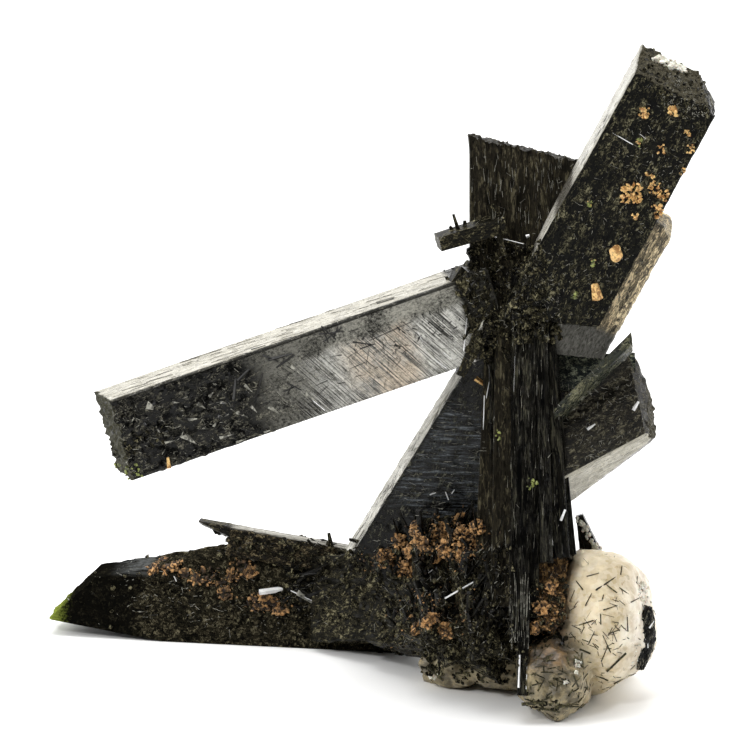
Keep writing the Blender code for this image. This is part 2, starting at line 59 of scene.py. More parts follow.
def spot(across, up, near):
    """A place given along the line of sight, in the part's own frame."""
    rise = math.sin(SIGHT_TILT)
    reach = math.cos(SIGHT_TILT)
    return Vector((across, up * rise - near * reach, up * reach + near * rise)) * MM


def toward(across, up, near):
    """A direction given along the line of sight, in the part's own frame."""
    return spot(across, up, near).normalized()


SIGHT = toward(0, 0, 1)


class Pattern:
    """A socket of a material. Sums on it add Math nodes; node() adds any other node."""

    def __init__(self, tree, socket=None):
        self.tree = tree
        self.socket = socket

    def node(self, kind, settings=(), sockets=(), out=0):
        made = self.tree.nodes.new(kind)
        for name, value in dict(settings).items():
            setattr(made, name, value)
        for name, value in dict(sockets).items():
            if isinstance(value, Pattern):
                self.tree.links.new(value.socket, made.inputs[name])
            else:
                made.inputs[name].default_value = value
        return Pattern(self.tree, made.outputs[out])

    def maths(self, operation, first, second):
        return self.node("ShaderNodeMath", {"operation": operation}, {0: first, 1: second})

    def __add__(self, other):
        return self.maths("ADD", self, other)

    def __radd__(self, other):
        return self.maths("ADD", other, self)

    def __sub__(self, other):
        return self.maths("SUBTRACT", self, other)

    def __rsub__(self, other):
        return self.maths("SUBTRACT", other, self)

    def __mul__(self, other):
        return self.maths("MULTIPLY", self, other)

    def __rmul__(self, other):
        return self.maths("MULTIPLY", other, self)

    def rise(self, low, high):
        """0 below low, 1 above high, and smooth between them."""
        ends = {"Value": self, "From Min": low, "From Max": high}
        return self.node("ShaderNodeMapRange", {"interpolation_type": "SMOOTHSTEP"}, ends)

    def vector(self, operation, *others, out=0):
        """Maths on places: this one first, then the others."""
        sockets = dict(enumerate((self, *others)))
        return self.node("ShaderNodeVectorMath", {"operation": operation}, sockets, out)

    def axis(self, name):
        """One of the three values of a place."""
        return self.node("ShaderNodeSeparateXYZ", {}, {0: self}, out=name)

    def stretched(self, *scale):
        """This place scaled along each axis: what is drawn on it is finer where the scale is larger."""
        return self.node("ShaderNodeMapping", {}, {"Vector": self, "Scale": scale})

    def turned(self, degrees):
        """This place turned about y, in the plane of a crystal's broad face."""
        turn = (0.0, math.radians(degrees), 0.0)
        return self.node("ShaderNodeMapping", {}, {"Vector": self, "Rotation": turn})

    def blots(self, scale, detail=2.0, roughness=0.5, out=0):
        """Soft random blots over this place."""
        sockets = {"Vector": self, "Scale": scale, "Detail": detail, "Roughness": roughness}
        return self.node("ShaderNodeTexNoise", {}, sockets, out)

    def cells(self, scale, out="Color"):
        """Small cells over this place, each with a colour of its own."""
        return self.node("ShaderNodeTexVoronoi", {}, {"Vector": self, "Scale": scale}, out)

    def mixed(self, low, high):
        """A colour that goes from low to high as this mask goes from 0 to 1."""
        ends = {}
        for socket, colour in ((6, low), (7, high)):
            ends[socket] = colour if isinstance(colour, Pattern) else (*colour, 1.0)
        return self.node("ShaderNodeMix", {"data_type": "RGBA"}, {0: self, **ends}, out=2)


def new_surface(name):
    """An empty material, its Principled shader and a pattern to draw on."""
    surface = bpy.data.materials.new(name)
    surface.use_nodes = True
    tree = surface.node_tree
    return surface, tree.nodes["Principled BSDF"], Pattern(tree)


def link(shader, name, pattern):
    """Feeds a pattern to a socket of the shader."""
    pattern.tree.links.new(pattern.socket, shader.inputs[name])


camera = bpy.data.objects.new("camera", bpy.data.cameras.new("camera"))
camera.data.lens = LENS
camera.data.sensor_width = SENSOR
camera.data.clip_end = 20.0
camera.location = spot(*VIEW_MIDDLE) + SIGHT * LENS / SENSOR * VIEW_WIDTH * MM
camera.rotation_euler = (math.pi / 2 - SIGHT_TILT, 0.0, 0.0)
bpy.context.scene.collection.objects.link(camera)
bpy.context.scene.camera = camera
bpy.context.scene.view_settings.view_transform = "Standard"

sky = bpy.data.worlds.new("studio")
sky.use_nodes = True
bpy.context.scene.world = sky
way = Pattern(sky.node_tree).node("ShaderNodeTexCoord")
glow = 0.06 + 1.50 * (way.axis("Y") + 0.7 * way.axis("Z")).rise(-0.3, 0.7)
sky.node_tree.links.new(glow.socket, sky.node_tree.nodes["Background"].inputs["Strength"])
sky.node_tree.nodes["Background"].inputs["Color"].default_value = (1.0, 1.0, 1.0, 1.0)

bm = bmesh.new()
bmesh.ops.create_circle(bm, cap_ends=True, segments=96, radius=FLOOR_RADIUS)
mesh = bpy.data.meshes.new("floor")
bm.to_mesh(mesh)
bm.free()
floor = bpy.data.objects.new("floor", mesh)
bpy.context.scene.collection.objects.link(floor)
surface, shader, pen = new_surface("floor")
tone = pen.node("ShaderNodeTexCoord", out="Object").blots(2.0)
link(shader, "Base Color", tone.mixed((0.90, 0.90, 0.89), (0.92, 0.92, 0.91)))
shader.inputs["Roughness"].default_value = 0.7
mesh.materials.append(surface)

LAMPS = [
    ("top_lamp", (-0.1, 0.25, 1.0), 0.7, 6.0),
    ("left_lamp", (-0.9, -0.15, 0.55), 0.5, 3.1),
    ("right_lamp", (0.9, 0.1, 0.5), 0.5, 1.9),
    ("key_lamp", (-0.45, -0.7, 0.8), 0.12, 3.2),
]
for name, place, size, power in LAMPS:
    light = bpy.data.lights.new(name, "AREA")
    light.shape = "DISK"
    light.size = size
    light.energy = power
    lamp = bpy.data.objects.new(name, light)
    lamp.location = place
    lamp.rotation_euler = (-Vector(place) + Vector((0, 0, 0.04))).to_track_quat("-Z", "Y").to_euler()
    bpy.context.scene.collection.objects.link(lamp)

# The beam: the longest prism, reaching left and toward the viewer. Solid aegirine with a flat glassy front
# painted with silver reflections and glints, a slanting top face painted pale as a highlight, and a rough
# broken end. It grew straight out of the junction.
BEAM_ROOT = (-7.6, 54.3, 0.0)
BEAM_TIP = (-59.0, 36.5, 10.6)
BEAM_FACING = (0.07, -0.21, 0.97)
BEAM_WIDTH = 11.5
BEAM_DEPTH = 8.6
CUT_SLACK = 1e-5
SHARP = math.radians(24)
AEGIRINE_IOR = 1.55
SHEEN = 0.12


class Crystal:
    """One straight crystal, in its own mm: x across its broad face, y out of it, z from root to tip."""

    def __init__(self, start, end, width, depth, out, corner=0.3):
        along = (end - start).normalized()
        out = (out - along * out.dot(along)).normalized()
        turn = Matrix((out.cross(along), out, along)).transposed().to_4x4()
        self.way = along
        self.place = Matrix.Translation(start) @ turn @ Matrix.Scale(MM, 4)
        self.back = self.place.inverted()
        self.length = (end - start).length / MM
        self.width = width
        self.depth = depth
        self.bm = bmesh.new()
        bmesh.ops.create_cube(self.bm, size=1)
        bmesh.ops.scale(self.bm, vec=(width, depth, self.length), verts=self.bm.verts)
        bmesh.ops.translate(self.bm, vec=(0, -depth / 2, self.length / 2), verts=self.bm.verts)
        sides = [e for e in self.bm.edges if abs(e.verts[0].co.z - e.verts[1].co.z) > self.length / 2]
        bmesh.ops.bevel(
            self.bm, geom=sides, offset=corner, offset_type="OFFSET", affect="EDGES", segments=2,
            profile=0.5, material=-1,
        )
        self.broken = self.bm.verts.layers.float.new("broken")

    def everything(self):
        return self.bm.verts[:] + self.bm.edges[:] + self.bm.faces[:]

    def trim(self, point, way):
        """Cuts away what lies beyond a plane of the part's frame, and closes the cut."""
        cut = bmesh.ops.bisect_plane(
            self.bm, geom=self.everything(), dist=CUT_SLACK, plane_co=self.back @ point,
            plane_no=(self.back.to_3x3() @ way).normalized(), clear_outer=True,
        )
        rim = [item for item in cut["geom_cut"] if isinstance(item, bmesh.types.BMEdge)]
        if rim:
            bmesh.ops.contextual_create(self.bm, geom=rim)
        return self

    def cut(self, place, way):
        """Trims at a plane given along the line of sight: a spot on it and the way that it faces."""
        return self.trim(spot(*place), toward(*way))

    def divide(self, across, deep, along, chance=None):
        """Splits the faces into small cells, to be worked, and marks the crystal's grain on them."""
        for axis, cell in ((2, along), (0, across), (1, deep)):
            way = Vector((0, 0, 0))
            way[axis] = 1.0
            spread = [vert.co[axis] for vert in self.bm.verts]
            low = min(spread)
            count = int((max(spread) - low) / cell)
            for step in range(count):
                level = low + (max(spread) - low) * (step + 1) / (count + 1)
                bmesh.ops.bisect_plane(
                    self.bm, geom=self.everything(), dist=CUT_SLACK, plane_co=way * level, plane_no=way
                )
        growth = self.bm.verts.layers.float_vector.new("growth")
        shift = Vector([chance.uniform(-90, 90) for _ in range(3)]) if chance else Vector((0, 0, 0))
        for vert in self.bm.verts:
            vert[growth] = vert.co + shift
        return self

    def work(self, height):
        """Moves each point out of its face by a height in mm, for its place and the way that it faces."""
        self.bm.normal_update()
        moves = [vert.normal * height(vert.co, vert.normal) for vert in self.bm.verts]
        for vert, move in zip(self.bm.verts, moves):
            vert.co += move
        return self

    def taper(self, share):
        """Draws the tip in to a share of the root's width."""
        for vert in self.bm.verts:
            keep = 1 - (1 - share) * min(max(vert.co.z / self.length, 0), 1)
            vert.co.x *= keep
            vert.co.y = (vert.co.y + self.depth / 2) * keep - self.depth / 2
        return self

    def shave(self, across, slant):
        """Cuts a long edge off beyond a line across, by a narrow face that leans to its side."""
        turn = self.place.to_3x3()
        way = turn @ Vector((math.copysign(math.sin(slant), across), math.cos(slant), 0))
        return self.trim(self.place @ Vector((across, 0, 0)), way.normalized())

    def snap(self, point, way, reach, height):
        """Breaks an end off roughly: what lies within reach of the end plane is pushed back unevenly."""
        start = self.back @ point
        way = (self.back.to_3x3() @ way).normalized()
        self.bm.normal_update()
        for vert in self.bm.verts:
            behind = (start - vert.co).dot(way)
            if behind < 0.05 and vert.normal.dot(way) > 0.3:
                vert[self.broken] = 1.0
        for vert in self.bm.verts:
            behind = (start - vert.co).dot(way)
            if behind < reach:
                vert.co -= way * height(vert.co) * (1 - max(behind, 0) / reach)
        return self


def grown(root, tip, width, depth, facing, corner=0.3):
    """A crystal given along the line of sight: its front face from root to tip, its size and its facing."""
    return Crystal(spot(*root), spot(*tip), width, depth, toward(*facing), corner)


def facets(place, cell, slope, shift=0.0):
    """Height of a surface broken into small flat facets, each leaning its own way."""
    here = place / cell + Vector((shift, shift, shift))
    nearest = noise.voronoi(here)[1][0]
    lean = noise.cell_vector(nearest * 37.0 + Vector((0.5, 0.5, 0.5))) - Vector((0.5, 0.5, 0.5))
    return (here - nearest).dot(lean) * 2 * slope * cell


def break_height(depth, shift):
    """How far a broken end goes in, over its face: coarse steps with small facets and grains on them."""
    def height(place):
        flat = Vector((place.x, place.y, 0))
        coarse = 0.5 + 0.5 * noise.noise(flat * 0.33 + Vector((shift, 0, 0)))
        middle = 0.5 + 0.5 * noise.noise(flat * 0.9 + Vector((0, shift, 0)))
        fine = 0.5 + 0.5 * noise.noise(flat * 2.6 + Vector((0, 0, shift)))
        grit = 0.5 + 0.5 * noise.noise(place * 4.5)
        steps = depth * (0.55 * coarse + 0.34 * middle + 0.24 * fine)
        return steps + facets(flat, 0.8, 0.5, shift) + 0.22 * grit
    return height


def settle(name, crystals, surface, node="aegirine_cluster"):
    """One piece, of one or more worked crystals. Its faces are sorted, so that each run draws alike."""
    whole = bmesh.new()
    for crystal in crystals:
        bmesh.ops.transform(crystal.bm, matrix=crystal.place, verts=crystal.bm.verts)
        part = bpy.data.meshes.new(name)
        crystal.bm.to_mesh(part)
        crystal.bm.free()
        whole.from_mesh(part)
        bpy.data.meshes.remove(part)
    order = sorted(whole.faces, key=lambda face: tuple(face.calc_center_median()))
    for index, face in enumerate(order):
        face.index = index
    whole.faces.sort()
    return settle_mesh(name, whole, surface, node)


def settle_mesh(name, bm, surface, node="aegirine_cluster"):
    """Makes a finished mesh of a bmesh, with its sharp edges kept, and rides it on the root body."""
    bmesh.ops.recalc_face_normals(bm, faces=bm.faces)
    for vert in bm.verts:
        vert.co.z = max(vert.co.z, 0.0)
    mesh = bpy.data.meshes.new(name)
    bm.to_mesh(mesh)
    bm.free()
    mesh.shade_smooth()
    mesh.set_sharp_from_angle(angle=SHARP)
    mesh.materials.append(surface)
    piece = bpy.data.objects.new(name, mesh)
    bpy.context.scene.collection.objects.link(piece)
    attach(piece, "root")
    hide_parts(node)
    return piece


def roughen(shader, height, distance, strength=1.0):
    """Dents the look of a surface by a height, of so many metres at 1."""
    sockets = {"Height": height, "Distance": distance, "Strength": strength}
    link(shader, "Normal", height.node("ShaderNodeBump", {}, sockets))


def aegirine(
    name, body, streak, dust, dust_share=0.3, gloss=0.08, relief=1.0, flaked=0.5, flake_and_glint_specks=0.5, stretch=0.6,
    sheen=SHEEN, pale=None, rubbly=(0.155, 0.136, 0.088), extra=None,
):
    """Aegirine: near-black and glassy, flecked with brown and with pale flecks that are partly flakes and
    partly painted glints, rough where broken.

    stretch below 1 draws the flecks out along the crystal. The pale argument gives the side, +1 or -1, and
    the mm across at which a narrow face begins whose colour is painted pale and streaked, a painted
    highlight. extra may lay one more colour over the rest.
    """
    surface, shader, pen = new_surface(name)
    grain = pen.node("ShaderNodeAttribute", {"attribute_name": "growth"}, out="Vector")
    broken = pen.node("ShaderNodeAttribute", {"attribute_name": "broken"}, out="Fac").rise(0.1, 0.6)
    streaks = grain.stretched(3.2, 3.2, 0.12).blots(1.0, 6.0, 0.75)
    clouds = grain.blots(0.4, 6.0, 0.7)
    worn = grain.stretched(1.0, 1.0, stretch)
    fine = worn.blots(3.2, 6.0, 0.85)
    grit = worn.blots(9.0, 4.0, 0.8)
    warp = worn.blots(2.2, 5.0, out="Color")
    bent = warp.vector("MULTIPLY_ADD", (1.2, 1.2, 1.2), worn)
    value = 0.26 * fine + 0.24 * clouds + 0.16 * grit
    for scale in (2.2, 6.0):
        value = value + 0.17 * bent.cells(scale).axis("X")
    lean = grain.cells(1.7).vector("SUBTRACT", (0.5, 0.5, 0.5))
    offset = grain.vector("SUBTRACT", grain.cells(1.7, "Position"))
    chips = lean.vector("DOT_PRODUCT", offset, out="Value")
    chipped = (clouds + 0.3 * fine).rise(0.82 - 0.34 * flaked, 0.86 - 0.34 * flaked)
    value = value + 0.3 * (dust_share - 0.3)
    dusty = value.rise(0.495, 0.565)
    dull = (dusty * 0.6 + broken).rise(0.0, 1.0)
    colour = value.rise(0.42, 0.50).mixed(body, streak)
    colour = streaks.rise(0.46, 0.64).mixed(colour, streak)
    dust = (dust[0], dust[1] * 0.97, dust[2] * 0.85)
    colour = dusty.mixed(colour, dust)
    # Pale flecks: partly light flakes, partly painted glints.
    flake = (dust[0] * 4.0 + 0.05, dust[1] * 4.0 + 0.05, dust[2] * 4.0 + 0.035)
    colour = (value.rise(0.572, 0.64) * flake_and_glint_specks).mixed(colour, flake)
    rubble = (grit * 0.7 + fine * 0.4).rise(0.48, 0.68)
    colour = broken.mixed(colour, rubble.mixed((0.007, 0.007, 0.004), rubbly))
    # Painted highlight: a narrow face painted pale with dark dashes, where it would catch the light.
    if pale:
        side, start = pale
        painted_shine_face = (grain.axis("X") * side).rise(start, start + 0.12) * (1.0 - broken)
        shine = (streaks * 0.8 + fine * 0.3).rise(0.38, 0.62)
        shine = shine.mixed((0.19, 0.18, 0.145), (0.57, 0.54, 0.45))
        shine = (streaks * 0.9 + grit * 0.2).rise(0.60, 0.63).mixed(shine, (0.04, 0.035, 0.025))
        colour = painted_shine_face.mixed(colour, shine)
    if extra:
        colour = extra(grain, colour, streaks, fine)
    link(shader, "Base Color", colour)
    link(shader, "Roughness", gloss + 0.45 * dull + 0.10 * clouds)
    grains = (0.4 * fine + 0.5 * grit) * (0.05 + dull)
    height = (0.10 * streaks + 0.8 * chips * chipped) * relief + grains
    roughen(shader, height, 0.0002)
    shader.inputs["IOR"].default_value = AEGIRINE_IOR
    shader.inputs["Specular IOR Level"].default_value = sheen
    return surface


def painted_silver_sheen(grain, colour, streaks, fine):
    """The beam's face: painted silver reflections in slanting striations toward the junction, painted glints
    among them, and pale flecks painted as glints near the break.
    """
    front = grain.axis("Y").rise(-0.45, -0.25)
    across = grain.axis("X")
    length = grain.axis("Z")
    slant = grain.turned(58.5).stretched(7.0, 1.0, 0.12).blots(1.0, 6.0, 0.75)
    broad = grain.blots(0.16, 4.0)
    zone = (length + 14.0 * (broad - 0.5) + 9.0 * (fine - 0.5)).rise(37.0, 32.0) * front
    lower = (across + 3.0 * (broad - 0.5)).rise(-3.2, -1.8)
    lower = lower * (length + 10.0 * (broad - 0.5)).rise(31.0, 25.0)
    # The zone is painted reflection: silver-grey above, whitish tinted fawn below.
    upper_painted_sheen = (fine * 0.8 + broad * 0.5 + slant * 0.15).rise(0.60, 0.82)
    upper_painted_sheen = upper_painted_sheen.mixed((0.006, 0.006, 0.005), (0.36, 0.35, 0.30))
    fawn = (slant * 0.6 + broad * 0.5).rise(0.50, 0.60)
    fawn = fawn * length.rise(11.0, 14.0) * length.rise(25.0, 19.0)
    tint = (fawn * 0.75).mixed((0.78, 0.77, 0.71), (0.68, 0.54, 0.39))
    lower_painted_sheen_and_tint = (slant + broad * 0.3 + fine * 0.1).rise(0.59, 0.78).mixed((0.014, 0.013, 0.011), tint)
    zone = zone * (1.0 - 0.45 * (length + 8.0 * (broad - 0.5)).rise(20.0, 29.0))
    colour = (zone * fine.rise(0.30, 0.50)).mixed(colour, lower.mixed(upper_painted_sheen, lower_painted_sheen_and_tint))
    edge = across.rise(-5.16, -5.28) * fine.rise(0.36, 0.48) * front * 0.9
    colour = edge.mixed(colour, (0.004, 0.004, 0.003))
    # Painted glints in the lower zone, and pale flecks painted as glints near the break.
    glints = (slant * 0.7 + fine * 0.4).rise(0.66, 0.70) * zone * lower
    colour = glints.mixed(colour, (0.62, 0.60, 0.56))
    flecks = (slant * 0.5 + fine * 0.6).rise(0.64, 0.68) * length.rise(26.0, 34.0) * front
    colour = (flecks * 0.7).mixed(colour, (0.30, 0.29, 0.25))
    root = (length + 3.0 * (broad - 0.5)).rise(5.4, 4.4)
    dark = fine.rise(0.42, 0.62).mixed((0.003, 0.003, 0.002), (0.040, 0.037, 0.026))
    return root.mixed(colour, dark)


def beam_relief(place, way):
    """Flat faces, with flaked facets toward the broken end and slanting ledges toward the root."""
    if way.y < 0.6:
        return 0.05 * noise.noise(Vector((place.x * 1.5, place.y * 1.5, place.z * 0.05))) - 0.03
    flaked = min(max((place.z - 34) / 8 + 0.8 * noise.noise(place * 0.25), 0), 1)
    slant = Vector((place.x * 0.52 + place.z * 0.85, 0, (place.x * 0.85 - place.z * 0.52) * 0.12))
    ledge = noise.noise(slant * 1.6)
    flakes = facets(place, 1.9, 0.3) + facets(place, 0.8, 0.15, 3.0)
    return flaked * flakes + (1 - flaked) * 0.06 * ledge - 0.1


chance = random.Random(11)
beam = grown(BEAM_ROOT, BEAM_TIP, BEAM_WIDTH, BEAM_DEPTH, BEAM_FACING, corner=0.4)
beam.divide(0.32, 0.5, 0.36)
beam.work(beam_relief)
beam.snap(spot(*BEAM_TIP), beam.way, 4.0, break_height(1.3, 4.0))
beam_skin = aegirine(
    "beam_aegirine", (0.001, 0.001, 0.001), (0.009, 0.009, 0.008), (0.062, 0.060, 0.052), dust_share=0.21,
    flaked=0.4, flake_and_glint_specks=0.7, pale=(-1, 5.4), rubbly=(0.085, 0.080, 0.042), extra=painted_silver_sheen,
)
pieces = [settle("beam", [beam], beam_skin)]

# The upper crystal: as thick as the beam but black and mottled, its left side a narrow face painted bright
# as a highlight, and its end broken. A flatter crystal, dull and brown, grew behind it.
UPPER_ROOT = (-2.2, 50.6, 1.0)
UPPER_TIP = (17.5, 86.4, 12.6)
UPPER_FACING = (0.09, -0.05, 0.99)
UPPER_END = (16.1, 83.9, 11.8)
UPPER_WIDTH = 12.5
UPPER_DEPTH = 9.0
BACKING_ROOT = (0.0, 46.4, -1.6)
BACKING_TIP = (11.5, 67.0, 4.2)
BACKING_WIDTH = 10.0
BACKING_DEPTH = 7.0


def mottled(depth, cell):
    """A glassy face pitted and flaked all over."""
    def height(place, way):
        pits = max(noise.noise(place * 0.55) - 0.12, 0) * 1.4
        flakes = facets(place, cell, depth) + facets(place, cell * 0.4, depth * 0.8, 5.0)
        return flakes - depth * (0.4 + pits)
    return height


upper = grown(UPPER_ROOT, UPPER_TIP, UPPER_WIDTH, UPPER_DEPTH, UPPER_FACING, 0.3)
upper_end_way = (upper.way + SIGHT * 0.18).normalized()
upper.cut((0, 52.4, 0), (-0.08, -1, 0.1))
upper.trim(spot(*UPPER_END), upper_end_way)
upper.cut((20.6, 81.4, 11.8), (0.9, 0.4, 0.1))
upper.divide(0.36, 0.5, 0.36)
upper.work(mottled(0.06, 1.3))
upper.snap(spot(*UPPER_END), upper_end_way, 4.0, break_height(1.1, 9.0))
backing = grown(BACKING_ROOT, BACKING_TIP, BACKING_WIDTH, BACKING_DEPTH, (0.1, -0.05, 0.99), 1.2
)
backing.cut((0, 48.3, 0), (-0.1, -1, 0))
backing.cut((15.2, 63.2, 3), (0.95, 0.3, 0.2))
backing.divide(0.4, 0.5, 0.5)
backing.work(mottled(0.14, 0.9))


def painted_bright_side(grain, colour, streaks, fine):
    """The left side face is painted white and streaked, a painted highlight, from the break down to where
    the junction's crumbs begin.
    """
    length = grain.axis("Z")
    across = grain.axis("X")
    edge = 6.02 + 0.16 * (length.rise(26.0, 18.0))
    side = (across - edge).rise(0.0, 0.06) * (length + 5.0 * (fine - 0.5)).rise(9.0, 12.0)
    shine = (streaks * 0.8 + fine * 0.3).rise(0.38, 0.60).mixed((0.16, 0.15, 0.125), (0.58, 0.56, 0.49))
    shine = (streaks * 0.9 + fine * 0.2).rise(0.60, 0.63).mixed(shine, (0.04, 0.035, 0.03))
    ragged = length + 6.0 * (streaks - 0.5)
    gap = ragged.rise(21.5, 20.0) * ragged.rise(15.0, 16.5)
    return side.mixed(colour, (gap * 0.9).mixed(shine, (0.05, 0.045, 0.035)))


upper_skin = aegirine(
    "upper_aegirine", (0.001, 0.001, 0.001), (0.006, 0.006, 0.004), (0.062, 0.058, 0.039), dust_share=0.20,
    flaked=0.6, flake_and_glint_specks=0.7, sheen=0.05, extra=painted_bright_side,
)


def grey_root(grain, colour, streaks, fine):
    """The crystal behind is greyer next to the junction."""
    grey = fine.rise(0.36, 0.60).mixed((0.035, 0.034, 0.029), (0.165, 0.160, 0.140))
    return grain.axis("Z").rise(8.5, 7.0).mixed(colour, grey)


backing_skin = aegirine(
    "backing_aegirine", (0.014, 0.012, 0.008), (0.110, 0.095, 0.070), (0.25, 0.21, 0.15), dust_share=0.46,
    gloss=0.25, flake_and_glint_specks=0.7, stretch=0.3, extra=grey_root,
)
pieces.append(settle("upper_crystal", [upper], upper_skin))
pieces.append(settle("backing_crystal", [backing], backing_skin))

# The stub: a broad, flat crystal that rises from the junction to a jagged break, dull brown and finely
# striated from top to bottom.
STUB_ROOT = (-4.4, 51.0, -0.7)
STUB_TIP = (-4.4, 79.6, -1.5)
STUB_TOP = (-4.4, 76.6, -1.5)
STUB_WIDTH = 15.0
STUB_DEPTH = 7.0


def striated(depth, pitch, shift=0.0):
    """Ledges that run the length of the crystal: the face steps up and down across it."""
    def height(place, way):
        line = Vector((place.x / pitch, place.y / pitch, place.z / pitch * 0.02 + shift))
        broad = round(noise.noise(line) * 4) / 4
        fine = noise.noise(Vector((line.x * 3.7, line.y * 3.7, line.z * 1.5)))
        return depth * (broad + 0.4 * fine - 0.9)
    return height


stub = grown(STUB_ROOT, STUB_TIP, STUB_WIDTH, STUB_DEPTH, (0.0, 0, 1), 0.3)
stub_end_way = toward(0.24, 1, 0.05)
stub.trim(spot(*STUB_TOP), stub_end_way)
stub.divide(0.22, 0.5, 0.9)
stub.work(striated(0.2, 1.6))
stub.snap(spot(*STUB_TOP), stub_end_way, 3.0, break_height(1.0, 2.0))
stub_skin = aegirine(
    "stub_aegirine", (0.004, 0.0035, 0.0025), (0.015, 0.013, 0.009), (0.032, 0.028, 0.019), dust_share=0.30,
    gloss=0.25, flake_and_glint_specks=0.4, stretch=0.2, sheen=0.04,
)
pieces.append(settle("stub", [stub], stub_skin))

# The column: a fan of long upright blades grown side by side, glossy black in the middle and brown to the
# left, each striated along its length, widening down to the matrix.
COLUMN_BLADES = [
    ((-6.6, 61.0, -0.6), (-7.3, 14.5, 2.6), 3.4, 4.5),
    ((-4.2, 59.0, 0.4), (-4.3, 13.0, 3.8), 4.0, 6.0),
    ((-2.3, 57.0, 0.2), (-1.4, 20.5, 4.4), 1.9, 5.0),
    ((-1.7, 55.0, 0.0), (0.6, 21.0, 3.4), 2.3, 5.0),
    ((-1.1, 50.0, -0.2), (1.7, 21.4, 2.0), 2.0, 5.0),
    ((-8.3, 49.0, -1.6), (-9.6, 19.0, 0.0), 3.2, 5.0),
    ((-0.9, 23.0, 1.6), (-1.0, 10.6, 4.0), 4.6, 4.5),
    ((-5.1, 22.5, 4.6), (-5.0, 9.8, 5.2), 2.9, 4.5),
    ((-4.7, 15.0, 4.6), (-4.6, 2.6, 4.8), 1.8, 2.6),
    ((-5.0, 58.0, -1.0), (-4.6, 16.0, -1.5), 8.6, 6.5),
]
BROWN_BLADES = (0, 5)
RUSTY_BLADE = 6
blades = []
for index, (root, tip, width, depth) in enumerate(COLUMN_BLADES):
    blade = grown(root, tip, width, depth, (chance.uniform(-0.12, 0.12), 0, 1), 0.25)
    if index == RUSTY_BLADE:
        blade.cut((0.4, 12.2, 4.0), (0.7, -0.7, 0.1))
        blade.cut((-2.0, 11.4, 4.0), (-0.4, -0.9, 0.1))
        blades.append(blade.divide(0.3, 0.4, 0.4, chance).work(mottled(0.45, 1.1)))
    else:
        blades.append(blade.divide(0.16, 0.6, 1.0, chance).work(striated(0.12, 0.8, index * 3.7)))
column_skin = aegirine(
    "column_aegirine", (0.001, 0.001, 0.001), (0.006, 0.0055, 0.004), (0.021, 0.020, 0.014),
    dust_share=0.20, gloss=0.14, flake_and_glint_specks=0.35, stretch=0.12,
)
brown = [blades[index] for index in BROWN_BLADES]
pieces.append(settle("brown_blades", brown, stub_skin))
rusty_skin = aegirine(
    "rusty_aegirine", (0.006, 0.0045, 0.003), (0.032, 0.020, 0.011), (0.110, 0.066, 0.030), dust_share=0.36,
    gloss=0.3, sheen=0.05,
)
pieces.append(settle("rusty_blade", [blades[RUSTY_BLADE]], rusty_skin))
black = [blade for index, blade in enumerate(blades) if index not in (*BROWN_BLADES, RUSTY_BLADE)]
pieces.append(settle("column_blades", black, column_skin))

# The wedge: a wide crystal that leans from the junction down behind the column, its face black with painted
# dull bluish reflections in bands and its left side a narrow strip painted bright as a highlight.
WEDGE_ROOT = (-4.8, 48.3, -2.6)
WEDGE_TIP = (-23.3, 18.3, -16.5)
WEDGE_WIDTH = 13.0
WEDGE_DEPTH = 7.0


def banded(place, way):
    """Growth bands across the crystal, with small flakes between them."""
    band = noise.noise(Vector((place.x * 0.16, place.y, place.z * 1.2)))
    return 0.12 * band + facets(place, 1.1, 0.06) - 0.12


wedge = grown(WEDGE_ROOT, WEDGE_TIP, WEDGE_WIDTH, WEDGE_DEPTH, (-0.02, 0.01, 1), 0.25
)
wedge.shave(-5.2, 0.9)
wedge.divide(0.34, 0.6, 0.34)
wedge.work(banded)


def painted_blue_reflections(grain, colour, streaks, fine):
    """Painted dull blue-grey reflections in level bands over the middle of the face, and a narrow left face
    painted pale and streaked as a highlight.
    """
    length = grain.axis("Z")
    across = grain.axis("X")
    bands = grain.turned(58.3).stretched(2.2, 1.0, 0.22).blots(1.0, 6.0, 0.75)
    zone = length.rise(9.0, 14.0) * length.rise(30.0, 25.0) * across.rise(-5.1, -4.6)
    colour = (bands.rise(0.46, 0.60) * zone * 0.9).mixed(colour, (0.060, 0.068, 0.074))
    colour = ((bands * 0.8 + fine * 0.3).rise(0.60, 0.68) * zone).mixed(colour, (0.20, 0.22, 0.235))
    # Painted highlight: the narrow left face painted pale, with dark dashes.
    strip = streaks.rise(0.36, 0.62).mixed((0.26, 0.25, 0.20), (0.88, 0.86, 0.80))
    strip = (streaks * 0.9 + fine * 0.2).rise(0.59, 0.62).mixed(strip, (0.05, 0.045, 0.035))
    return across.rise(-5.2, -5.32).mixed(colour, strip)


wedge_skin = aegirine(
    "wedge_aegirine", (0.001, 0.001, 0.001), (0.007, 0.007, 0.006), (0.036, 0.036, 0.030), dust_share=0.22,
    flake_and_glint_specks=0.7, pale=(-1, 5.25), extra=painted_blue_reflections,
)
pieces.append(settle("wedge", [wedge], wedge_skin))

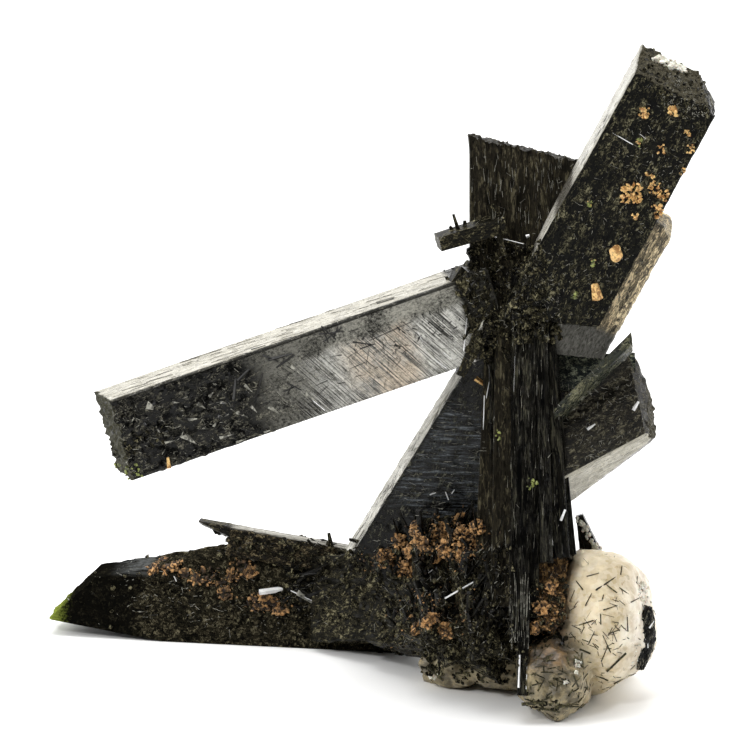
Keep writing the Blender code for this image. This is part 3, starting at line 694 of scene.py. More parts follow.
# The stout crystal to the right of the column: short and thick, its front dark and speckled, its lower face
# smooth and painted pale as a highlight, its end cut by rough faces. A thin dark blade stands out over it.
STOUT_ROOT = (-2.1, 36.2, -0.6)
STOUT_TIP = (13.0, 44.2, -2.6)
STOUT_WIDTH = 11.5
STOUT_DEPTH = 9.0
STOUT_END_CUTS = [
    ((12.9, 40.0, -4), (0.97, 0.12, 0.1)),
    ((11.7, 47.9, -4), (0.6, 0.8, 0.1)),
    ((13.4, 37.3, -4), (0.6, -0.8, 0.05)),
]
STOUT_BREAKS = [(1.2, 0.7, 6.0), (1.0, 0.6, 3.0)]
THIN_BLADE = ((-1.5, 39.3, 1.2), (10.4, 51.0, 2.8), 1.4, 3.0)
CRYSTAL_BEHIND = ((-1.0, 46.0, -3.2), (10.6, 46.1, -4.2), 5.2, 4.5)
stout = grown(STOUT_ROOT, STOUT_TIP, STOUT_WIDTH, STOUT_DEPTH, (-0.175, 0.33, 0.93), 0.3)
stout.trim(spot(10.8, 43.0, -2.4), (stout.way * 0.8 + SIGHT * 0.6).normalized())
for point, way in STOUT_END_CUTS:
    stout.cut(point, way)
stout.divide(0.34, 0.5, 0.34)
stout.work(mottled(0.05, 1.0))
for (point, way), (reach, depth, shift) in zip(STOUT_END_CUTS, STOUT_BREAKS):
    stout.snap(spot(*point), toward(*way), reach, break_height(depth, shift))
# The lower face is painted pale as a highlight.
stout_skin = aegirine(
    "stout_aegirine", (0.004, 0.004, 0.003), (0.017, 0.015, 0.011), (0.050, 0.046, 0.034), dust_share=0.28,
    gloss=0.10, flake_and_glint_specks=0.6, pale=(-1, 5.5),
)
thin_blade = grown(*THIN_BLADE, (-0.2, 0.2, 0.95), 0.2)
thin_blade.cut((10.0, 50.7, 2.8), (0.95, 0.1, 0))
thin_blade.divide(0.2, 0.4, 0.8, chance).work(striated(0.05, 0.6))
thin_skin = aegirine(
    "thin_blade_aegirine", (0.008, 0.009, 0.007), (0.030, 0.034, 0.025), (0.06, 0.06, 0.04), gloss=0.2
)
behind = grown(*CRYSTAL_BEHIND, (-0.1, 0.2, 0.95), 0.4)
behind.divide(0.3, 0.4, 0.4, chance).work(mottled(0.1, 0.9))
behind_skin = aegirine(
    "behind_aegirine", (0.006, 0.008, 0.008), (0.020, 0.026, 0.024), (0.09, 0.10, 0.08), dust_share=0.35
)
pieces.append(settle("stout_crystal", [stout], stout_skin))
pieces.append(settle("crystal_behind", [behind], behind_skin))
pieces.append(settle("thin_blade", [thin_blade], thin_skin))

# The lying crystal: a long prism on the ground to the lower left, its tip cut by slanting faces and thin
# enough there to shine green. A sharp-edged blade lies along its top.
LYING_HEIGHT = 12.0
LYING_DEPTH = 9.0
LYING_LEAN = 4.5
LYING_CUTS = [
    (27.7, LYING_HEIGHT, 0, 0.22, 1, 0), (8.3, 8.0, 0, 0.68, 0.73, 0), (18.2, 0, 0, 0.133, -1, 0),
    (7.0, 0, LYING_DEPTH, 0.6, 0, 1),
]
LYING_RIGHT = Vector((-16.0, 25.0, 0.0)) * MM
LYING_LEFT = Vector((-70.7, 33.4, 0.0)) * MM
SHELF_BLADE = ((-26.5, 21.0, -25.5), (-48.4, 24.9, -29.3), 1.9, 1.8)
SHELF_FOOT = ((-25.5, 19.6, -25.0), (-44.4, 23.0, -28.0), 4.0, 4.0)
UP = Vector((0, 0, 1))


def chipped_top(place, way):
    """Shallow chips on every face but the underside."""
    chips = facets(place, 1.6, 0.14) + facets(place, 0.6, 0.1, 2.0) - 0.1
    return min(chips, 0) * (way.x < 0.5)


lying_way = (LYING_LEFT - LYING_RIGHT).normalized()
lying_out = UP.cross(lying_way)
half_height = UP * LYING_HEIGHT / 2 * MM
lying = Crystal(
    LYING_RIGHT + half_height, LYING_LEFT + half_height, LYING_HEIGHT, LYING_DEPTH, lying_out, corner=0.2
)
lying.trim(LYING_RIGHT, (lying_out * LYING_HEIGHT + UP * LYING_LEAN).normalized())
for back, up, deep, along, rise, out in LYING_CUTS:
    end = LYING_LEFT - lying_way * back * MM + UP * up * MM - lying_out * deep * MM
    lying.trim(end, (UP * rise + lying_way * along - lying_out * out).normalized())
lying.divide(0.34, 0.6, 0.4)
lying.work(chipped_top)
lying.snap(LYING_RIGHT, -lying_way, 3.0, break_height(1.6, 5.0))


def green_tipped(grain, colour, streaks, fine):
    """The end is clear black with one painted grey sheen, a painted reflection, and its very tip is thin
    enough to shine green.
    """
    length = grain.axis("Z")
    across = grain.axis("X")
    clear = (length + 7.0 * (fine - 0.5)).rise(39.0, 43.0) * (0.75 + 0.25 * streaks)
    colour = clear.mixed(colour, (0.003, 0.003, 0.0025))
    # A painted grey sheen, standing in for a reflection on the end's upper left.
    sheen = (length - 38.5).rise(0.0, 2.0) * (length - 46.5).rise(0.0, -2.0)
    sheen = sheen * (across + 2.2).rise(0.3, -0.9) * streaks.rise(0.36, 0.62)
    colour = sheen.mixed(colour, (0.115, 0.120, 0.118))
    tip = (length + 6.0 * (fine - 0.5)).rise(50.6, 52.6) * (0.3 + 0.7 * streaks.rise(0.35, 0.6))
    return tip.mixed(colour, (0.24, 0.29, 0.05))


lying_skin = aegirine(
    "lying_aegirine", (0.001, 0.001, 0.001), (0.013, 0.012, 0.008), (0.041, 0.036, 0.025), dust_share=0.30,
    gloss=0.10, flake_and_glint_specks=0.6, stretch=0.9, sheen=0.0, extra=green_tipped,
)


def painted_rim_shine(grain, colour, streaks, fine):
    """The shelf blade's upper edge painted pale and lined, a painted highlight, but not out to its sharp
    tip.
    """
    length = grain.axis("Z") + 4.0 * (fine - 0.5)
    edge = (grain.axis("X") * -1.0).rise(0.66, 0.76) * grain.axis("Y").rise(-1.7, -1.5)
    rim = edge * length.rise(18.5, 17.0)
    return rim.mixed(colour, streaks.rise(0.38, 0.60).mixed((0.10, 0.095, 0.08), (0.50, 0.48, 0.42)))


shelf_skin = aegirine(
    "shelf_aegirine", (0.002, 0.002, 0.0015), (0.014, 0.012, 0.009), (0.046, 0.041, 0.028), dust_share=0.3,
    gloss=0.2, stretch=0.4, sheen=0.05, extra=painted_rim_shine,
)
rough_skin = aegirine(
    "rough_aegirine", (0.002, 0.002, 0.0015), (0.014, 0.012, 0.008), (0.060, 0.048, 0.030), dust_share=0.32,
    gloss=0.22, flake_and_glint_specks=0.9, sheen=0.06,
)
shelf = grown(*SHELF_BLADE, (0, -0.3, 0.95), 0.2)
shelf.cut((-45.2, 24.2, -29.0), (-0.45, -0.9, 0.1))
shelf.divide(0.2, 0.4, 0.5).work(mottled(0.04, 0.7))
shelf_foot = grown(*SHELF_FOOT, (0, -0.1, 0.95), 0.5)
shelf_foot.divide(0.25, 0.4, 0.4, chance).work(mottled(0.3, 0.9))
pieces.append(settle("lying_crystal", [lying], lying_skin))
pieces.append(settle("shelf_blade", [shelf], shelf_skin))
pieces.append(settle("shelf_foot", [shelf_foot], rough_skin))

# The knot of crystals at the base, and the small blades and spikes that stick out of it and of the
# junction: short dark prisms of all sizes, grown through one another every which way.
BASE_KNOTS = [
    ((-33.0, 15.4, -25.6), (-4.0, 17.0, -2.0), 12.0, 8.5),
    ((-24.0, 21.5, -20.0), (-6.0, 24.0, -2.0), 8.0, 7.0),
    ((-25.0, 13.5, -18.0), (-6.0, 11.5, -0.5), 8.0, 8.0),
    ((-16.0, 26.5, -7.0), (-14.5, 10.5, -3.0), 6.0, 6.0),
    ((-22.5, 18.5, -14.0), (-10.5, 11.5, 0.0), 4.0, 4.0),
    ((-12.5, 22.0, -2.0), (-9.0, 8.5, 1.5), 4.2, 4.0),
    ((-20.0, 13.0, -9.0), (-8.0, 7.6, -2.0), 4.6, 5.0),
    ((-16.5, 16.0, -5.0), (-13.0, 7.4, -4.0), 3.6, 4.0),
]
SPIKES = [
    ((-6.8, 65.6, 1.8), (-15.6, 62.9, 3.4), 2.4),
    ((-13.0, 64.2, 2.2), (-13.9, 67.1, 2.4), 0.7),
    ((-12.4, 64.4, 1.8), (-12.3, 66.2, 2.0), 0.8),
    ((-13.4, 64.2, 1.6), (-14.4, 65.4, 1.8), 0.7),
    ((-8.9, 68.4, 2.0), (-7.0, 61.6, 2.6), 1.1),
    ((-12.0, 59.4, 1.6), (-13.6, 57.4, 2.4), 2.2),
    ((-7.0, 63.6, 1.0), (-1.8, 62.0, 1.4), 0.6),
    ((-12.4, 55.0, 1.6), (-10.6, 50.0, 2.2), 0.8),
    ((-30.2, 22.0, -25.6), (-30.6, 24.2, -25.4), 0.8),
    ((-9.4, 52.4, 1.8), (-12.9, 45.2, 0.2), 2.2),
]


def skin_of(pieces):
    """A search tree of the skins of pieces, which all lie at the origin."""
    whole = bmesh.new()
    for piece in pieces:
        whole.from_mesh(piece.data)
    tree = BVHTree.FromBMesh(whole)
    whole.free()
    return tree


def meets(skin, across, up):
    """Where the line of sight at across, up meets a skin, and the way that the skin faces there."""
    place, normal, _, _ = skin.ray_cast(spot(across, up, 80.0), -SIGHT)
    return place, normal


def strewn(skin, across, up, wide, tall, count):
    """Numbered places strewn over a box of the view, where the line of sight meets a skin."""
    for index in range(count):
        here = across + chance.uniform(-1, 1) * wide
        place, normal = meets(skin, here, up + chance.uniform(-1, 1) * tall)
        if place:
            yield index, place, normal


def scatter(box, count, lean, lengths, widths):
    """Small blades rooted over a box of the view, on the pieces' skin there, each with its own lean."""
    made = []
    for _, place, normal in strewn(skin_of(pieces), *box, count):
        swing = toward(*(value + chance.uniform(-0.6, 0.6) for value in lean))
        width = chance.uniform(*widths)
        root = place - normal * 0.5 * width * MM
        facing = toward(chance.uniform(-0.6, 0.6), chance.uniform(-0.4, 0.4), 1)
        tip = root + swing * chance.uniform(*lengths) * MM
        small = Crystal(root, tip, width, width * chance.uniform(0.6, 1.6), facing, corner=width * 0.15)
        small.divide(width * 0.4, width * 0.5, 0.8, chance).work(mottled(0.05, 0.5))
        made.append(small.taper(chance.uniform(0.15, 0.9)))
    return made


knots = []
for root, tip, width, depth in BASE_KNOTS:
    knot = grown(root, tip, width, depth, (0.2, 0.1, 1), 0.6)
    knots.append(knot.divide(0.4, 0.6, 0.5, chance).work(mottled(0.22, 1.2)))
knot_skin = aegirine(
    "base_aegirine", (0.002, 0.002, 0.0015), (0.012, 0.011, 0.007), (0.052, 0.047, 0.030), dust_share=0.26,
    gloss=0.16, flake_and_glint_specks=0.9, sheen=0.05,
)
pieces.append(settle("base_knots", knots, knot_skin))
small = scatter((-15.5, 17.5, 8.0, 6.5), 170, (0.1, 0.9, 0.5), (1.5, 5.5), (0.3, 1.2))
small += scatter((-29.0, 17.5, 8.0, 3.5), 60, (1.0, 0.3, 0.3), (1.5, 5.0), (0.3, 1.1))
pieces.append(settle("base_blades", small, column_skin))
spikes = scatter((-7.4, 56.0, 4.4, 6.5), 90, (0.0, -0.9, 0.1), (0.8, 3.2), (0.3, 1.0))
spikes += scatter((-2.8, 55.6, 3.0, 6.5), 40, (0.0, -0.7, 0.1), (0.6, 2.0), (0.2, 0.7))
spikes += scatter((-34.0, 22.3, 8.0, 1.0), 24, (-0.9, 0.1, 0.3), (0.6, 1.8), (0.2, 0.6))
for index, (root, tip, width) in enumerate(SPIKES):
    spike = grown(root, tip, width, width * 1.3, (0.1, -0.3, 0.95), 0.15)
    spike.divide(0.25, 0.3, 0.6, chance).work(mottled(0.07, 0.6))
    spikes.append(spike.taper(0.55 if index else 0.85))
pieces.append(settle("junction_blades", spikes, knot_skin))

# The feldspar that the crystals grew on: a ball broken flat on its right, a darker foot in front, a heel
# behind, and a low lump to the left joined by a neck. Cream, a little translucent, grainy, flat underneath.
BALL_FLAT = (13.0, 14.0, -4.0)
FELDSPAR_LUMPS = [
    ((5.6, 12.6, -5.0), (7.6, 9.6, 9.6), 0.16, 1.6),
    ((-0.2, 5.2, 0.6), (5.4, 5.4, 5.2), 0.3, 2.0),
    ((-12.2, 6.6, -12.0), (6.0, 3.3, 4.6), 0.3, 2.0),
    ((-4.5, 6.0, -9.0), (9.0, 2.8, 4.6), 0.2, 2.0),
    ((4.0, 8.4, -15.0), (6.5, 5.0, 6.0), 0.2, 2.0),
]
FELDSPAR_VOXEL = 0.00035


def rough_ball(centre, radii, detail, roughness, grain, seed):
    """A lump: a ball stretched to its radii, its skin moved in and out by noise."""
    bm = bmesh.new()
    bmesh.ops.create_icosphere(bm, subdivisions=detail, radius=1.0)
    shift = Vector((7.3, 3.1, 5.7)) * seed
    middle = spot(*centre)
    for vert in bm.verts:
        swell = 1 + roughness * noise.noise(vert.co * grain + shift)
        across, up, near = (value * size * swell for value, size in zip(vert.co, radii))
        vert.co = middle + spot(across, up, near)
    return bm


def joined(meshes):
    """One bmesh of several, which are freed."""
    whole = bmesh.new()
    for bm in meshes:
        part = bpy.data.meshes.new("part")
        bm.to_mesh(part)
        bm.free()
        whole.from_mesh(part)
        bpy.data.meshes.remove(part)
    return whole


def remeshed(bm, voxel):
    """The outer skin of overlapping closed shells, as one even mesh."""
    mesh = bpy.data.meshes.new("skin")
    bm.to_mesh(mesh)
    bm.free()
    holder = bpy.data.objects.new("skin", mesh)
    bpy.context.scene.collection.objects.link(holder)
    step = holder.modifiers.new("Skin", "REMESH")
    step.mode = "VOXEL"
    step.voxel_size = voxel
    skin = bmesh.new()
    skin.from_object(holder, bpy.context.evaluated_depsgraph_get())
    bpy.data.objects.remove(holder)
    bpy.data.meshes.remove(mesh)
    return skin


lumps = []
for index, (centre, radii, roughness, grain) in enumerate(FELDSPAR_LUMPS):
    lump = rough_ball(centre, radii, 5, roughness, grain, index + 1)
    if index == 0:
        cut = bmesh.ops.bisect_plane(
            lump, geom=lump.verts[:] + lump.edges[:] + lump.faces[:], dist=1e-7, plane_co=spot(*BALL_FLAT),
            plane_no=toward(0.9, 0.25, 0.3), clear_outer=True,
        )
        rim = [item for item in cut["geom_cut"] if isinstance(item, bmesh.types.BMEdge)]
        bmesh.ops.contextual_create(lump, geom=rim)
    lumps.append(lump)
rock = remeshed(joined(lumps), FELDSPAR_VOXEL)
rock.normal_update()
for vert in rock.verts:
    place = vert.co / MM
    relief = facets(place, 1.5, 0.10) + facets(place, 0.6, 0.08, 7.0)
    vert.co += vert.normal * (relief + 0.10 * noise.noise(place * 1.1) - 0.05) * MM
    vert.co.z = max(vert.co.z, 0.0)


def feldspar():
    """Feldspar: cream and pinkish, brown where stained, dark and greenish toward the front foot."""
    surface, shader, pen = new_surface("feldspar")
    place = pen.node("ShaderNodeTexCoord", out="Object")
    clouds = place.blots(240.0, 5.0, 0.6)
    blots = place.blots(520.0, 6.0, 0.7)
    grains = place.cells(1500.0)
    tone = grains.axis("X")
    across = place.axis("X")
    height = place.axis("Z")
    cream = clouds.rise(0.35, 0.65).mixed((0.50, 0.40, 0.23), (0.76, 0.65, 0.44))
    pink = (across + 0.006 * (clouds - 0.5)).rise(0.007, 0.012)
    colour = pink.mixed(cream, clouds.rise(0.4, 0.6).mixed((0.58, 0.49, 0.38), (0.86, 0.81, 0.70)))
    foot = (0.0125 - height + 0.010 * (blots - 0.5)).rise(0.0, 0.004) * (0.0065 - across).rise(0.0, 0.004)
    colour = (tone.rise(0.0, 1.0) * 0.3 * (1.0 - foot)).mixed(colour, (0.82, 0.76, 0.66))
    colour = blots.rise(0.60, 0.72).mixed(colour, (0.34, 0.24, 0.13))
    olive = blots.rise(0.40, 0.64).mixed((0.050, 0.040, 0.018), (0.34, 0.28, 0.16))
    colour = (foot * 0.9).mixed(colour, olive)
    stain = (0.0034 - across + 0.004 * (clouds - 0.5)).rise(0.0, 0.0028) * (height - 0.006).rise(0.0, 0.003)
    brown = blots.rise(0.40, 0.64).mixed((0.030, 0.018, 0.008), (0.20, 0.12, 0.055))
    colour = (stain * 0.9).mixed(colour, brown)
    link(shader, "Base Color", colour)
    link(shader, "Roughness", 0.34 + 0.3 * blots - 0.12 * foot)
    roughen(shader, blots + 0.5 * tone, 0.00012, 0.8)
    shader.inputs["Subsurface Weight"].default_value = 0.25
    shader.inputs["Subsurface Radius"].default_value = (1.0, 0.7, 0.4)
    shader.inputs["Subsurface Scale"].default_value = 0.0012
    return surface


rock_piece = settle_mesh("feldspar_rock", rock, feldspar(), node="feldspar_matrix")

# The needles in the feldspar: fine dark prisms frozen in it at every angle, thickest low down and at its
# edges. The marked ones lie where they catch the eye: across, up, slant in degrees, length and width.
MARKED_NEEDLES = [
    (6.5, 17.6, 40, 3.4, 0.255), (6.9, 17.2, 128, 3.0, 0.225), (4.2, 15.5, 62, 1.9, 0.165),
    (7.1, 14.4, 25, 2.2, 0.195), (7.9, 7.1, 38, 3.6, 0.345), (6.6, 9.6, 118, 2.8, 0.18),
    (6.3, 8.2, 70, 2.2, 0.165), (9.4, 12.2, 100, 2.0, 0.21), (3.9, 12.4, 15, 2.2, 0.195),
    (4.8, 18.8, 8, 1.8, 0.18), (9.0, 16.6, 160, 1.8, 0.165), (2.6, 4.6, 50, 2.0, 0.225),
    (8.6, 19.4, 75, 1.5, 0.18), (10.4, 15.4, 20, 1.6, 0.18), (5.8, 12.9, 95, 1.5, 0.15),
    (3.0, 17.4, 130, 1.7, 0.195), (7.6, 11.2, 5, 1.9, 0.165), (4.6, 10.4, 55, 2.0, 0.195),
    (8.4, 4.6, 12, 1.8, 0.225), (6.0, 5.0, 150, 1.9, 0.21), (-2.6, 1.7, 4, 4.4, 0.525),
    (1.4, 1.2, -6, 3.6, 0.465), (-1.0, 0.75, 2, 3.0, 0.375), (-5.2, 3.6, 60, 1.8, 0.375),
    (-19.5, 6.4, 20, 2.6, 0.375), (-16.2, 5.4, 150, 2.8, 0.4125), (-12.4, 5.6, 10, 2.4, 0.375),
    (-9.6, 5.2, 35, 2.2, 0.375),
]
NEEDLE_COUNT = 520
NEEDLE_ZONES = [
    (5.0, 12.4, 3.8, 3.6, 42, 1.8, 0.16), (-0.4, 5.4, 4.4, 4.4, 90, 1.8, 0.3),
    (8.0, 8.0, 4.0, 5.0, 22, 1.2, 0.16),
]


def rod(place, normal, line, length, width, sink, sides=4):
    """A small prism laid along a line on a skin, sunk partly into it."""
    along = (line - normal * line.dot(normal)).normalized()
    turn = Matrix((normal.cross(along), normal, along)).transposed().to_4x4()
    bm = bmesh.new()
    radius = width / 2 * MM
    bmesh.ops.create_cone(
        bm, cap_ends=True, segments=sides, radius1=radius, radius2=radius * chance.uniform(0.4, 1.0),
        depth=length * MM,
    )
    middle = place + normal * width * (0.5 - sink) * MM
    bmesh.ops.transform(bm, matrix=Matrix.Translation(middle) @ turn, verts=bm.verts)
    return bm


def slanted(degrees):
    """A line across the view, tilted up to the right by an angle."""
    angle = math.radians(degrees)
    return toward(math.cos(angle), math.sin(angle), 0)


def laid(skin, marks, sink, sides=4, lean=0):
    """Rods on a skin, each from its across, up, slant in degrees, length and width, leaned to the eye."""
    made = []
    for across, up, degrees, length, width in marks:
        place, normal = meets(skin, across, up)
        if place:
            normal = (normal + SIGHT * lean).normalized() if lean else normal
            made.append(rod(place, normal, slanted(degrees), length, width, sink, sides))
    return made


def loose_spots(piece, count, low, high, wanted=lambda place: 1):
    """Places strewn over a piece between two heights in mm, and the way that its skin faces at each."""
    found = []
    faces = [face for face in piece.data.polygons if low < face.center.z / MM < high]
    while len(found) < count and faces:
        face = chance.choice(faces)
        if chance.random() < wanted(face.center / MM):
            found.append((face.center.copy(), face.normal.copy()))
    return found


def thinner_above(place):
    """Fewer needles lie in the upper half of the ball."""
    return 0.3 if place.z > 12 else 1


rock_skin = skin_of([rock_piece])
needles = laid(rock_skin, MARKED_NEEDLES, 0.3, sides=5)
for place, normal in loose_spots(rock_piece, NEEDLE_COUNT, 0.2, 26, thinner_above):
    line = Vector([chance.uniform(-1, 1) for _ in range(3)])
    size = chance.uniform(0.0, 1.0) ** 3
    needles.append(rod(place, normal, line, 0.4 + 1.6 * size, chance.uniform(0.05, 0.14), 0.4))
for *zone, longest, widest in NEEDLE_ZONES:
    for _, place, normal in strewn(rock_skin, *zone):
        length = chance.uniform(0.3, 1.0) * longest
        line = slanted(chance.uniform(0, 180))
        needles.append(rod(place, normal, line, length, chance.uniform(0.4, 1.0) * widest, 0.35))
needle_skin = aegirine(
    "needle_aegirine", (0.012, 0.011, 0.006), (0.045, 0.042, 0.024), (0.080, 0.074, 0.042), gloss=0.25
)


def marked(bm):
    """Marks the grain of a mesh of small pieces, each point by its own place."""
    growth = bm.verts.layers.float_vector.new("growth")
    for vert in bm.verts:
        vert[growth] = vert.co / MM
    return bm


settle_mesh("feldspar_needles", marked(joined(needles)), needle_skin, node="feldspar_matrix")

# The glossy crystal let into the ball's right edge, and the shard that stands up behind the ball with a
# white crust down its right side.
RIM_ROOT = (12.6, 14.5, -0.3)
RIM_TIP = (11.5, 5.9, -1.0)
SHARD_ROOT = (4.9, 20.2, -7.0)
SHARD_TIP = (3.0, 26.7, -6.4)
RIM_WIDTH = 3.6
RIM_DEPTH = 4.2
SHARD_WIDTH = 3.4
SHARD_DEPTH = 2.0
CRUST_SPOTS = [
    (3.6, 25.6), (3.9, 24.8), (4.3, 24.0), (4.8, 23.2), (5.3, 22.6), (5.8, 22.2), (6.2, 21.9), (2.6, 26.1),
]
CRUST_GRAINS = 5
WHITE_ZONES = [
    (11.6, 16.6, 0.7, 1.2, 26, 0.34), (12.0, 13.6, 0.6, 1.6, 20, 0.3), (10.6, 8.4, 0.6, 1.4, 12, 0.25),
    (2.8, 6.4, 0.5, 1.0, 8, 0.34), (1.2, 4.4, 0.5, 0.4, 5, 0.3), (-16.6, 5.0, 0.7, 0.5, 8, 0.3),
]

rim = grown(RIM_ROOT, RIM_TIP, RIM_WIDTH, RIM_DEPTH, (0.45, 0, 1), 0.9)
rim.divide(0.14, 0.3, 0.3).work(mottled(0.22, 0.8))
for vert in rim.bm.verts:
    vert.co.x *= 1 - 0.8 * abs(2 * vert.co.z / rim.length - 1) ** 1.6
# The rim crystal's pale dust and near-white flecks are painted white glints.
rim_skin = aegirine(
    "rim_aegirine", (0.003, 0.003, 0.003), (0.012, 0.012, 0.011), (0.25, 0.24, 0.21), dust_share=0.1,
    gloss=0.03, relief=1.6, flaked=1.0,
)
rim_piece = settle("rim_dressed", [rim], rim_skin, node="rim_crystal")
shard = grown(SHARD_ROOT, SHARD_TIP, SHARD_WIDTH, SHARD_DEPTH, (-0.1, 0, 1), 0.25)
shard.divide(0.16, 0.3, 0.3)
for vert in shard.bm.verts:
    vert.co.x *= 1 - 0.7 * vert.co.z / shard.length
shard.work(mottled(0.06, 0.5))
shard_piece = settle("shard_dressed", [shard], column_skin, node="back_shard")
shard_skin = skin_of([shard_piece])


def lump_of(place, size, seed, detail=1, roughness=1.2):
    """A small angular grain at a place."""
    bm = bmesh.new()
    bmesh.ops.create_icosphere(bm, subdivisions=detail, radius=size * MM)
    for vert in bm.verts:
        swell = roughness * noise.noise(vert.co / size / MM * 1.3 + Vector((seed, 0, 0)))
        vert.co = place + vert.co * (1 + swell)
    return bm


def grain_surface(name, low, high, gloss=0.5, bleed=0.0, fineness=900.0, raised=False):
    """A granular mineral that runs between two colours, grain by grain; where asked, with painted shade that
    darkens grains sunk into their nodule and leaves those that stand out lighter.
    """
    surface, shader, pen = new_surface(name)
    place = pen.node("ShaderNodeTexCoord", out="Object")
    blots = place.blots(fineness, 3.0, 0.7)
    grains = place.cells(fineness * 2.2)
    tone = grains.axis("X")
    share = (blots * 0.6 + tone * 0.4).rise(0.32, 0.68)
    # Painted shade: grains sunk into their nodule are darkened, those that stand out stay light.
    if raised:
        height = pen.node("ShaderNodeAttribute", {"attribute_name": "raised"}, out="Fac")
        share = share * height.rise(0.30, 0.95)
    link(shader, "Base Color", share.mixed(low, high))
    link(shader, "Roughness", gloss + 0.3 * blots)
    roughen(shader, blots, 0.0001)
    shader.inputs["Subsurface Weight"].default_value = bleed
    shader.inputs["Subsurface Scale"].default_value = 0.0006
    return surface


crust = []
for index, (across, up) in enumerate(CRUST_SPOTS):
    for grain in range(CRUST_GRAINS):
        here = across + chance.uniform(-0.5, 0.2)
        place, normal = meets(shard_skin, here, up + chance.uniform(-0.4, 0.4))
        if place:
            size = chance.uniform(0.16, 0.34)
            crust.append(lump_of(place, size, index * 5.1 + grain, detail=2, roughness=0.5))
for *zone, size in WHITE_ZONES:
    for grain, place, normal in strewn(rock_skin, *zone):
        crust.append(lump_of(place, size * chance.uniform(0.4, 1.0), zone[0] + grain))
white_grain = grain_surface("white_crust", (0.46, 0.43, 0.35), (0.80, 0.78, 0.70), bleed=0.1)
settle_mesh("shard_crust", joined(crust), white_grain, node="back_shard")

# The coats on the crystals: orange and brown rust grains, in small nodules and loose over the lying crystal
# and the base, a cream patch on the upper crystal's end, a few green bits, and golden grains, plates and
# prisms stuck to the upper crystal's face. All are small grains that settled or grew on the faces. A spot is
# given by its across and up, then its size or its half widths, and how many grains there are.
NODULE_SPOTS = [
    (-51.9, 20.0, 1.4), (-54.5, 19.6, 0.98), (-46.9, 18.8, 1.54), (-45.0, 17.0, 1.26),
    (-44.6, 16.0, 1.12), (-42.4, 19.8, 1.47), (-41.2, 18.9, 0.84), (-40.2, 14.8, 1.26),
    (-38.4, 14.4, 1.12), (-37.2, 14.0, 0.84), (-50.0, 18.6, 0.84), (-22.8, 21.0, 1.26),
    (-19.8, 19.6, 1.54), (-17.8, 23.2, 1.54), (-15.6, 24.6, 1.26), (-13.6, 24.0, 1.68),
    (-11.6, 23.4, 1.4), (-17.3, 12.9, 1.26), (-14.9, 11.2, 1.12), (-2.2, 14.4, 1.12), (-21.0, 23.4, 0.98),
    (-12.8, 21.4, 1.12), (-16.2, 21.4, 0.98), (-18.8, 25.0, 0.84), (-10.6, 25.2, 0.98),
    (-13.0, 26.0, 0.98), (-19.6, 21.8, 0.84), (-14.8, 22.2, 1.26), (-53.2, 20.6, 0.7),
    (-48.4, 18.0, 0.84), (-43.6, 18.6, 0.84), (-39.2, 15.6, 0.7), (-18.6, 11.4, 0.84), (-1.0, 17.0, 0.84),
    (-3.0, 11.8, 0.84),
]
NODULE_GRAINS = 170
RUST_ZONES = [
    (-14.6, 23.0, 5.0, 3.0, 520), (-1.0, 13.8, 1.9, 4.4, 260), (-39.0, 14.6, 3.4, 1.2, 90),
    (-17.0, 13.5, 6.0, 4.4, 260), (-24.0, 20.5, 3.0, 2.0, 90), (-46.0, 18.4, 5.0, 1.4, 60),
]
GOLD_SPOTS = [
    (11.6, 80.6, 0.5, 3), (15.3, 80.8, 0.45, 3), (17.4, 77.8, 0.35, 2), (17.8, 75.8, 0.35, 2),
    (13.9, 75.8, 0.3, 2), (12.3, 72.3, 0.4, 2), (9.9, 69.9, 0.55, 9), (12.9, 70.6, 0.4, 4),
    (14.1, 69.5, 0.4, 4), (13.4, 67.5, 0.45, 4), (10.5, 66.9, 0.35, 2), (16.6, 72.8, 0.3, 2),
    (10.9, 76.6, 0.3, 1), (4.3, 68.5, 0.28, 1), (4.8, 60.6, 0.25, 1),
]
CREAM_GRAINS = 70
TAN_PLATE = (7.8, 61.8)
TAN_PLATE_SIZE = 1.05
TAN_PRISMS = [
    (5.2, 56.8, 102, 2.2, 1.5), (-10.1, 44.6, -35, 1.9, 0.8), (-52.0, 33.8, 98, 1.5, 0.6),
    (11.7, 80.6, 100, 1.6, 0.5),
]
GREEN_SPOTS = [
    (10.9, 76.6, 0.3, 0.5, 6), (4.3, 68.5, 0.3, 0.3, 4), (4.8, 60.6, 0.3, 0.4, 4),
    (-57.6, 32.6, 2.2, 1.0, 34), (-3.2, 31.2, 0.9, 1.0, 10), (-68.0, 15.4, 1.2, 0.8, 12),
    (-8.0, 38.0, 0.4, 1.2, 5), (2.2, 56.0, 0.5, 0.5, 5),
]


def raised_by(share, grain):
    """Marks a grain by how far it stands out of its nodule, which sets its painted shade."""
    raised = grain.verts.layers.float.new("raised")
    for vert in grain.verts:
        vert[raised] = share
    return grain


crystal_skin = skin_of(pieces + [rim_piece])
rust = []
for index, (across, up, size) in enumerate(NODULE_SPOTS):
    place, normal = meets(crystal_skin, across, up)
    for grain in range(NODULE_GRAINS if place else 0):
        swing = Vector([chance.gauss(0, 1) for _ in range(3)]).normalized()
        swing -= normal * min(swing.dot(normal), 0) * 1.6
        share = chance.uniform(0.35, 1.15)
        bulk = 0.09 + 0.26 * chance.random() ** 2
        middle = place + swing * size * share * MM
        rust.append(raised_by(share, lump_of(middle, bulk, index + grain * 1.7)))
for across, up, wide, tall, count in RUST_ZONES:
    for grain in range(count):
        swing, reach = chance.gauss(0, 0.5) * wide, chance.gauss(0, 0.5) * tall
        place, normal = meets(crystal_skin, across + swing, up + reach)
        if place:
            bulk = 0.05 + 0.16 * chance.random() ** 2
            rust.append(raised_by(chance.uniform(0.3, 1.1), lump_of(place, bulk, across + grain * 1.3)))
